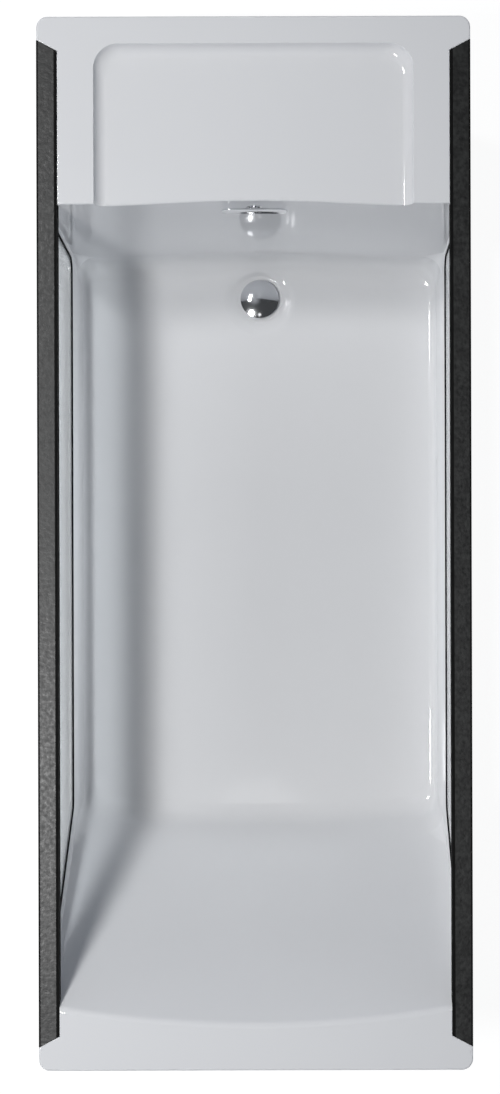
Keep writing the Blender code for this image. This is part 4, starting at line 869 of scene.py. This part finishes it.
finishes = {
    "shell_white": {
        "dark": (0.755, 0.760, 0.772),
        "light": (0.770, 0.774, 0.785),
        "broad": 3.0,
        "fine": 22,
        "roughness": (0.04, 0.07),
        "bump": 0.02,
    },
    "panel_white": {
        "dark": (0.79, 0.795, 0.80),
        "light": (0.82, 0.822, 0.825),
        "broad": 5,
        "fine": 260,
        "roughness": (0.22, 0.30),
        "bump": 0.05,
    },
    "black_rubber": {
        "dark": (0.006, 0.006, 0.006),
        "light": (0.012, 0.012, 0.012),
        "broad": 40,
        "fine": 900,
        "roughness": (0.70, 0.85),
        "bump": 0.15,
        "bumpDepth": 0.0001,
        "specular": 0.12,
    },
    "black_profile": {
        "dark": (0.004, 0.004, 0.004),
        "light": (0.007, 0.007, 0.007),
        "broad": 30,
        "fine": 600,
        "roughness": (0.55, 0.70),
        "bump": 0.05,
        "bumpDepth": 0.0001,
        "specular": 0.08,
    },
    "slate": {
        "dark": (0.0055, 0.006, 0.006),
        "light": (0.015, 0.016, 0.0155),
        "broad": 75,
        "fine": 150,
        "toneFrom": 0.42,
        "toneTo": 0.62,
        "roughness": (0.22, 0.64),
        "bump": 0.45,
        "bumpDepth": 0.0008,
    },
    "chrome": {
        "dark": (0.79, 0.80, 0.82),
        "light": (0.84, 0.85, 0.87),
        "broad": 30,
        "fine": 700,
        "roughness": (0.085, 0.10),
        "bump": 0.01,
        "bumpDepth": 0.0001,
        "metallic": 1,
    },
    "brass": {
        "dark": (0.52, 0.36, 0.14),
        "light": (0.70, 0.52, 0.24),
        "broad": 60,
        "fine": 900,
        "roughness": (0.22, 0.38),
        "bump": 0.1,
        "bumpDepth": 0.0001,
        "metallic": 1,
    },
    "zinc_steel": {
        "dark": (0.42, 0.43, 0.45),
        "light": (0.66, 0.67, 0.68),
        "broad": 45,
        "fine": 500,
        "stretch": (1, 0.35, 1),
        "roughness": (0.28, 0.46),
        "bump": 0.15,
        "bumpDepth": 0.0001,
        "metallic": 1,
    },
    "particle_board": {
        "dark": (0.30, 0.20, 0.11),
        "light": (0.62, 0.48, 0.31),
        "broad": 220,
        "fine": 380,
        "stretch": (1, 0.5, 1.5),
        "roughness": (0.70, 0.90),
        "bump": 0.5,
        "bumpDepth": 0.0005,
    },
    "grey_plastic": {
        "dark": (0.24, 0.245, 0.25),
        "light": (0.30, 0.305, 0.31),
        "broad": 30,
        "fine": 800,
        "roughness": (0.40, 0.52),
        "bump": 0.12,
        "bumpDepth": 0.0001,
    },
    "white_plastic": {
        "dark": (0.70, 0.70, 0.68),
        "light": (0.76, 0.76, 0.74),
        "broad": 20,
        "fine": 700,
        "roughness": (0.32, 0.44),
        "bump": 0.1,
        "bumpDepth": 0.0001,
    },
    "pad_plastic": {
        "dark": (0.018, 0.018, 0.019),
        "light": (0.032, 0.032, 0.033),
        "broad": 30,
        "fine": 700,
        "roughness": (0.48, 0.62),
        "bump": 0.2,
        "bumpDepth": 0.0001,
    },
}
glassLook = {"tint": (0.965, 0.985, 0.975), "ior": 1.5, "passed": (0.80, 0.815, 0.825)}


def glassMaterial():
    material = bpy.data.materials.new("window_glass")
    material.use_nodes = True
    nodes, links = material.node_tree.nodes, material.node_tree.links
    shader = nodes["Principled BSDF"]
    shader.inputs["Base Color"].default_value = (*glassLook["tint"], 1)
    shader.inputs["Roughness"].default_value = 0
    shader.inputs["IOR"].default_value = glassLook["ior"]
    shader.inputs["Transmission Weight"].default_value = 1
    # lamp light and soft light pass straight through
    clear = nodes.new("ShaderNodeBsdfTransparent")
    clear.inputs["Color"].default_value = (*glassLook["passed"], 1)
    rays = nodes.new("ShaderNodeLightPath")
    passing = nodes.new("ShaderNodeMath")
    passing.operation = "MAXIMUM"
    links.new(rays.outputs["Is Shadow Ray"], passing.inputs[0])
    links.new(rays.outputs["Is Diffuse Ray"], passing.inputs[1])
    chooser = nodes.new("ShaderNodeMixShader")
    links.new(passing.outputs["Value"], chooser.inputs["Fac"])
    links.new(shader.outputs["BSDF"], chooser.inputs[1])
    links.new(clear.outputs["BSDF"], chooser.inputs[2])
    links.new(chooser.outputs["Shader"], nodes["Material Output"].inputs["Surface"])
    return material


materials = {name: tonedMaterial(name, values) for name, values in finishes.items()}
materials["window_glass"] = glassMaterial()

bathShell.data.materials.append(materials["shell_white"])
# glass on the two faces of each pane, black round its edge
for pane in windowPanes:
    pane.data.materials.append(materials["window_glass"])
    pane.data.materials.append(materials["black_rubber"])
    for face in pane.data.polygons:
        face.material_index = 0 if abs(face.normal.x) > 0.5 else 1
for seal in windowSeals:
    seal.data.materials.append(materials["black_rubber"])
for piece in (plugDome, overflowCover):
    piece.data.materials.append(materials["chrome"])
# slate on top of each bar, black on its two edges and the rest
for piece in rimBars:
    piece.data.materials.append(materials["black_profile"])
    piece.data.materials.append(materials["slate"])
    for face in piece.data.polygons:
        inlay = bar["inner"] + bar["edge"] < abs(face.center.x) < shell["halfWidth"] - bar["edge"]
        face.material_index = 1 if inlay and face.normal.z > 0.5 else 0
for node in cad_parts.values():
    for holder in node.material_slots:
        slotName = holder.material.name.split(".")[0]
        if slotName in materials:
            holder.material = materials[slotName]
print("materials made:", len(materials))


# Light: two round ceiling lamps, two low fills through the windows, and what the gloss mirrors

lamps = {
    "lampHeadLeft": {"place": (-1.42, 1.38, 3.97), "size": 0.57, "power": 43},
    "lampFootLeft": {"place": (-1.21, -0.60, 3.97), "size": 0.57, "power": 81},
    "fillRight": {"place": (0.75, 0.02, 0.325), "power": 1.35, "turn": 88},
    "fillLeft": {"place": (-0.75, 0.02, 0.325), "power": 0.75, "turn": -88},
}
fillShape = {"size": 0.09, "length": 0.90, "spread": 60}


def addLamp(name, values):
    light = bpy.data.lights.new(name, "AREA")
    fill = "turn" in values
    light.shape = "RECTANGLE" if fill else "DISK"
    light.size = fillShape["size"] if fill else values["size"]
    light.size_y = fillShape["length"] if fill else values["size"]
    light.energy = values["power"]
    lamp = bpy.data.objects.new(name, light)
    lamp.location = values["place"]
    lamp.rotation_euler = (0, math.radians(values.get("turn", 0)), 0)
    lamp.visible_camera = False
    if fill:
        # for the low side walls of the shell alone
        light.spread = math.radians(fillShape["spread"])
        lamp.visible_glossy = False
        lit = bpy.data.collections.new(name)
        lit.objects.link(bathShell)
        lamp.light_linking.receiver_collection = lit
    bpy.context.scene.collection.objects.link(lamp)


for name, values in lamps.items():
    addLamp(name, values)


def glowOnly(card, tone, halo=None):
    # Shows in reflections and lights nothing else
    material = bpy.data.materials.new(card.name)
    material.use_nodes = True
    nodes, links = material.node_tree.nodes, material.node_tree.links
    nodes.remove(nodes["Principled BSDF"])
    glow = nodes.new("ShaderNodeEmission")
    glow.inputs["Color"].default_value = (*tone, 1)
    links.new(glow.outputs["Emission"], nodes["Material Output"].inputs["Surface"])
    if halo:
        # a soft brighter patch round one point
        place = nodes.new("ShaderNodeNewGeometry")
        reach = nodes.new("ShaderNodeVectorMath")
        reach.operation = "DISTANCE"
        reach.inputs[1].default_value = halo["place"]
        links.new(place.outputs["Position"], reach.inputs[0])
        fade = nodes.new("ShaderNodeValToRGB")
        fade.color_ramp.interpolation = "EASE"
        fade.color_ramp.elements[0].color = (*halo["tone"], 1)
        fade.color_ramp.elements[1].color = (*tone, 1)
        fade.color_ramp.elements[1].position = halo["reach"]
        links.new(reach.outputs["Value"], fade.inputs["Fac"])
        links.new(fade.outputs["Color"], glow.inputs["Color"])
    card.data.materials.append(material)
    card.visible_camera = card.visible_diffuse = card.visible_transmission = False
    card.visible_shadow = card.visible_volume_scatter = False


ceiling = {
    "x": (-3.5, 4.0),
    "y": (-4.5, 1.60),
    "z": 4.05,
    "tone": (0.055, 0.057, 0.060),
    "halo": {"place": (-0.75, 1.20, 4.05), "tone": (0.34, 0.35, 0.37), "reach": 0.95},
}
discFoot = {"place": (-0.09, -0.78, 3.97), "radius": 0.20, "tone": (1.2, 1.2, 1.2)}


def addCeiling(v):
    (left, right), (foot, head) = v["x"], v["y"]
    middle = ((left + right) / 2, (foot + head) / 2, v["z"])
    clearSelection()
    bpy.ops.mesh.primitive_plane_add(size=1, location=middle)
    card = bpy.context.object
    card.name = "darkCeiling"
    card.scale = (right - left, head - foot, 1)
    glowOnly(card, v["tone"], v["halo"])


def addDisc(name, v):
    clearSelection()
    bpy.ops.mesh.primitive_circle_add(
        vertices=circleSteps, radius=v["radius"], fill_type="NGON", location=v["place"]
    )
    disc = bpy.context.object
    disc.name = name
    glowOnly(disc, v["tone"])


addCeiling(ceiling)
addDisc("discFoot", discFoot)


skyTones = {
    "low": (0.30, 0.325, 0.375),
    "lowEnd": 0.38,
    "high": (0.025, 0.030, 0.036),
    "highStart": 0.80,
    "mirrored": (0.97, 0.98, 1.0),
    "mirroredStrength": 0.10,
}
groundLook = {
    "size": 40,
    "matt": (0.75, 0.75, 0.76),
    "thin": (0.16, 0.16, 0.16),
    "glow": (0.93, 0.93, 0.93),
}


def addWorld():
    # The camera and the glass see white, gloss sees a dim room, the rest gets the soft sky
    world = bpy.data.worlds.new("room")
    bpy.context.scene.world = world
    world.use_nodes = True
    nodes, links = world.node_tree.nodes, world.node_tree.links
    fill = nodes["Background"]
    direction = nodes.new("ShaderNodeTexCoord")
    parts = nodes.new("ShaderNodeSeparateXYZ")
    links.new(direction.outputs["Generated"], parts.inputs["Vector"])
    sky = nodes.new("ShaderNodeValToRGB")
    sky.color_ramp.elements[0].position = skyTones["lowEnd"]
    sky.color_ramp.elements[0].color = (*skyTones["low"], 1)
    sky.color_ramp.elements[1].position = skyTones["highStart"]
    sky.color_ramp.elements[1].color = (*skyTones["high"], 1)
    links.new(parts.outputs["Z"], sky.inputs["Fac"])
    links.new(sky.outputs["Color"], fill.inputs["Color"])
    mirrored = nodes.new("ShaderNodeBackground")
    mirrored.inputs["Color"].default_value = (*skyTones["mirrored"], 1)
    mirrored.inputs["Strength"].default_value = skyTones["mirroredStrength"]
    white = nodes.new("ShaderNodeBackground")
    white.inputs["Color"].default_value = (1, 1, 1, 1)
    rays = nodes.new("ShaderNodeLightPath")
    seen = nodes.new("ShaderNodeMath")
    seen.operation = "MAXIMUM"
    links.new(rays.outputs["Is Camera Ray"], seen.inputs[0])
    links.new(rays.outputs["Is Transmission Ray"], seen.inputs[1])
    soft = nodes.new("ShaderNodeMixShader")
    links.new(rays.outputs["Is Glossy Ray"], soft.inputs["Fac"])
    links.new(fill.outputs["Background"], soft.inputs[1])
    links.new(mirrored.outputs["Background"], soft.inputs[2])
    chooser = nodes.new("ShaderNodeMixShader")
    links.new(seen.outputs["Value"], chooser.inputs["Fac"])
    links.new(soft.outputs["Shader"], chooser.inputs[1])
    links.new(white.outputs["Background"], chooser.inputs[2])
    links.new(chooser.outputs["Shader"], nodes["World Output"].inputs["Surface"])


def addGround():
    # Matt to soft light, and near white with a faint shadow where it is seen or mirrored
    clearSelection()
    bpy.ops.mesh.primitive_plane_add(size=groundLook["size"], location=(0, 0, 0))
    ground = bpy.context.object
    ground.name = "whiteGround"
    material = bpy.data.materials.new("whiteGround")
    material.use_nodes = True
    nodes, links = material.node_tree.nodes, material.node_tree.links
    nodes.remove(nodes["Principled BSDF"])
    matt = nodes.new("ShaderNodeBsdfDiffuse")
    matt.inputs["Color"].default_value = (*groundLook["matt"], 1)
    thin = nodes.new("ShaderNodeBsdfDiffuse")
    thin.inputs["Color"].default_value = (*groundLook["thin"], 1)
    glow = nodes.new("ShaderNodeEmission")
    glow.inputs["Color"].default_value = (*groundLook["glow"], 1)
    bright = nodes.new("ShaderNodeAddShader")
    links.new(thin.outputs["BSDF"], bright.inputs[0])
    links.new(glow.outputs["Emission"], bright.inputs[1])
    rays = nodes.new("ShaderNodeLightPath")
    # transmission rays count as glossy too and are taken off
    mirrored = nodes.new("ShaderNodeMath")
    mirrored.operation = "SUBTRACT"
    links.new(rays.outputs["Is Glossy Ray"], mirrored.inputs[0])
    links.new(rays.outputs["Is Transmission Ray"], mirrored.inputs[1])
    seen = nodes.new("ShaderNodeMath")
    seen.operation = "MAXIMUM"
    links.new(rays.outputs["Is Camera Ray"], seen.inputs[0])
    links.new(mirrored.outputs["Value"], seen.inputs[1])
    chooser = nodes.new("ShaderNodeMixShader")
    links.new(seen.outputs["Value"], chooser.inputs["Fac"])
    links.new(matt.outputs["BSDF"], chooser.inputs[1])
    links.new(bright.outputs["Shader"], chooser.inputs[2])
    links.new(chooser.outputs["Shader"], nodes["Material Output"].inputs["Surface"])
    ground.data.materials.append(material)


addWorld()
addGround()
bpy.context.scene.view_settings.view_transform = "Standard"
print("light and ground placed")
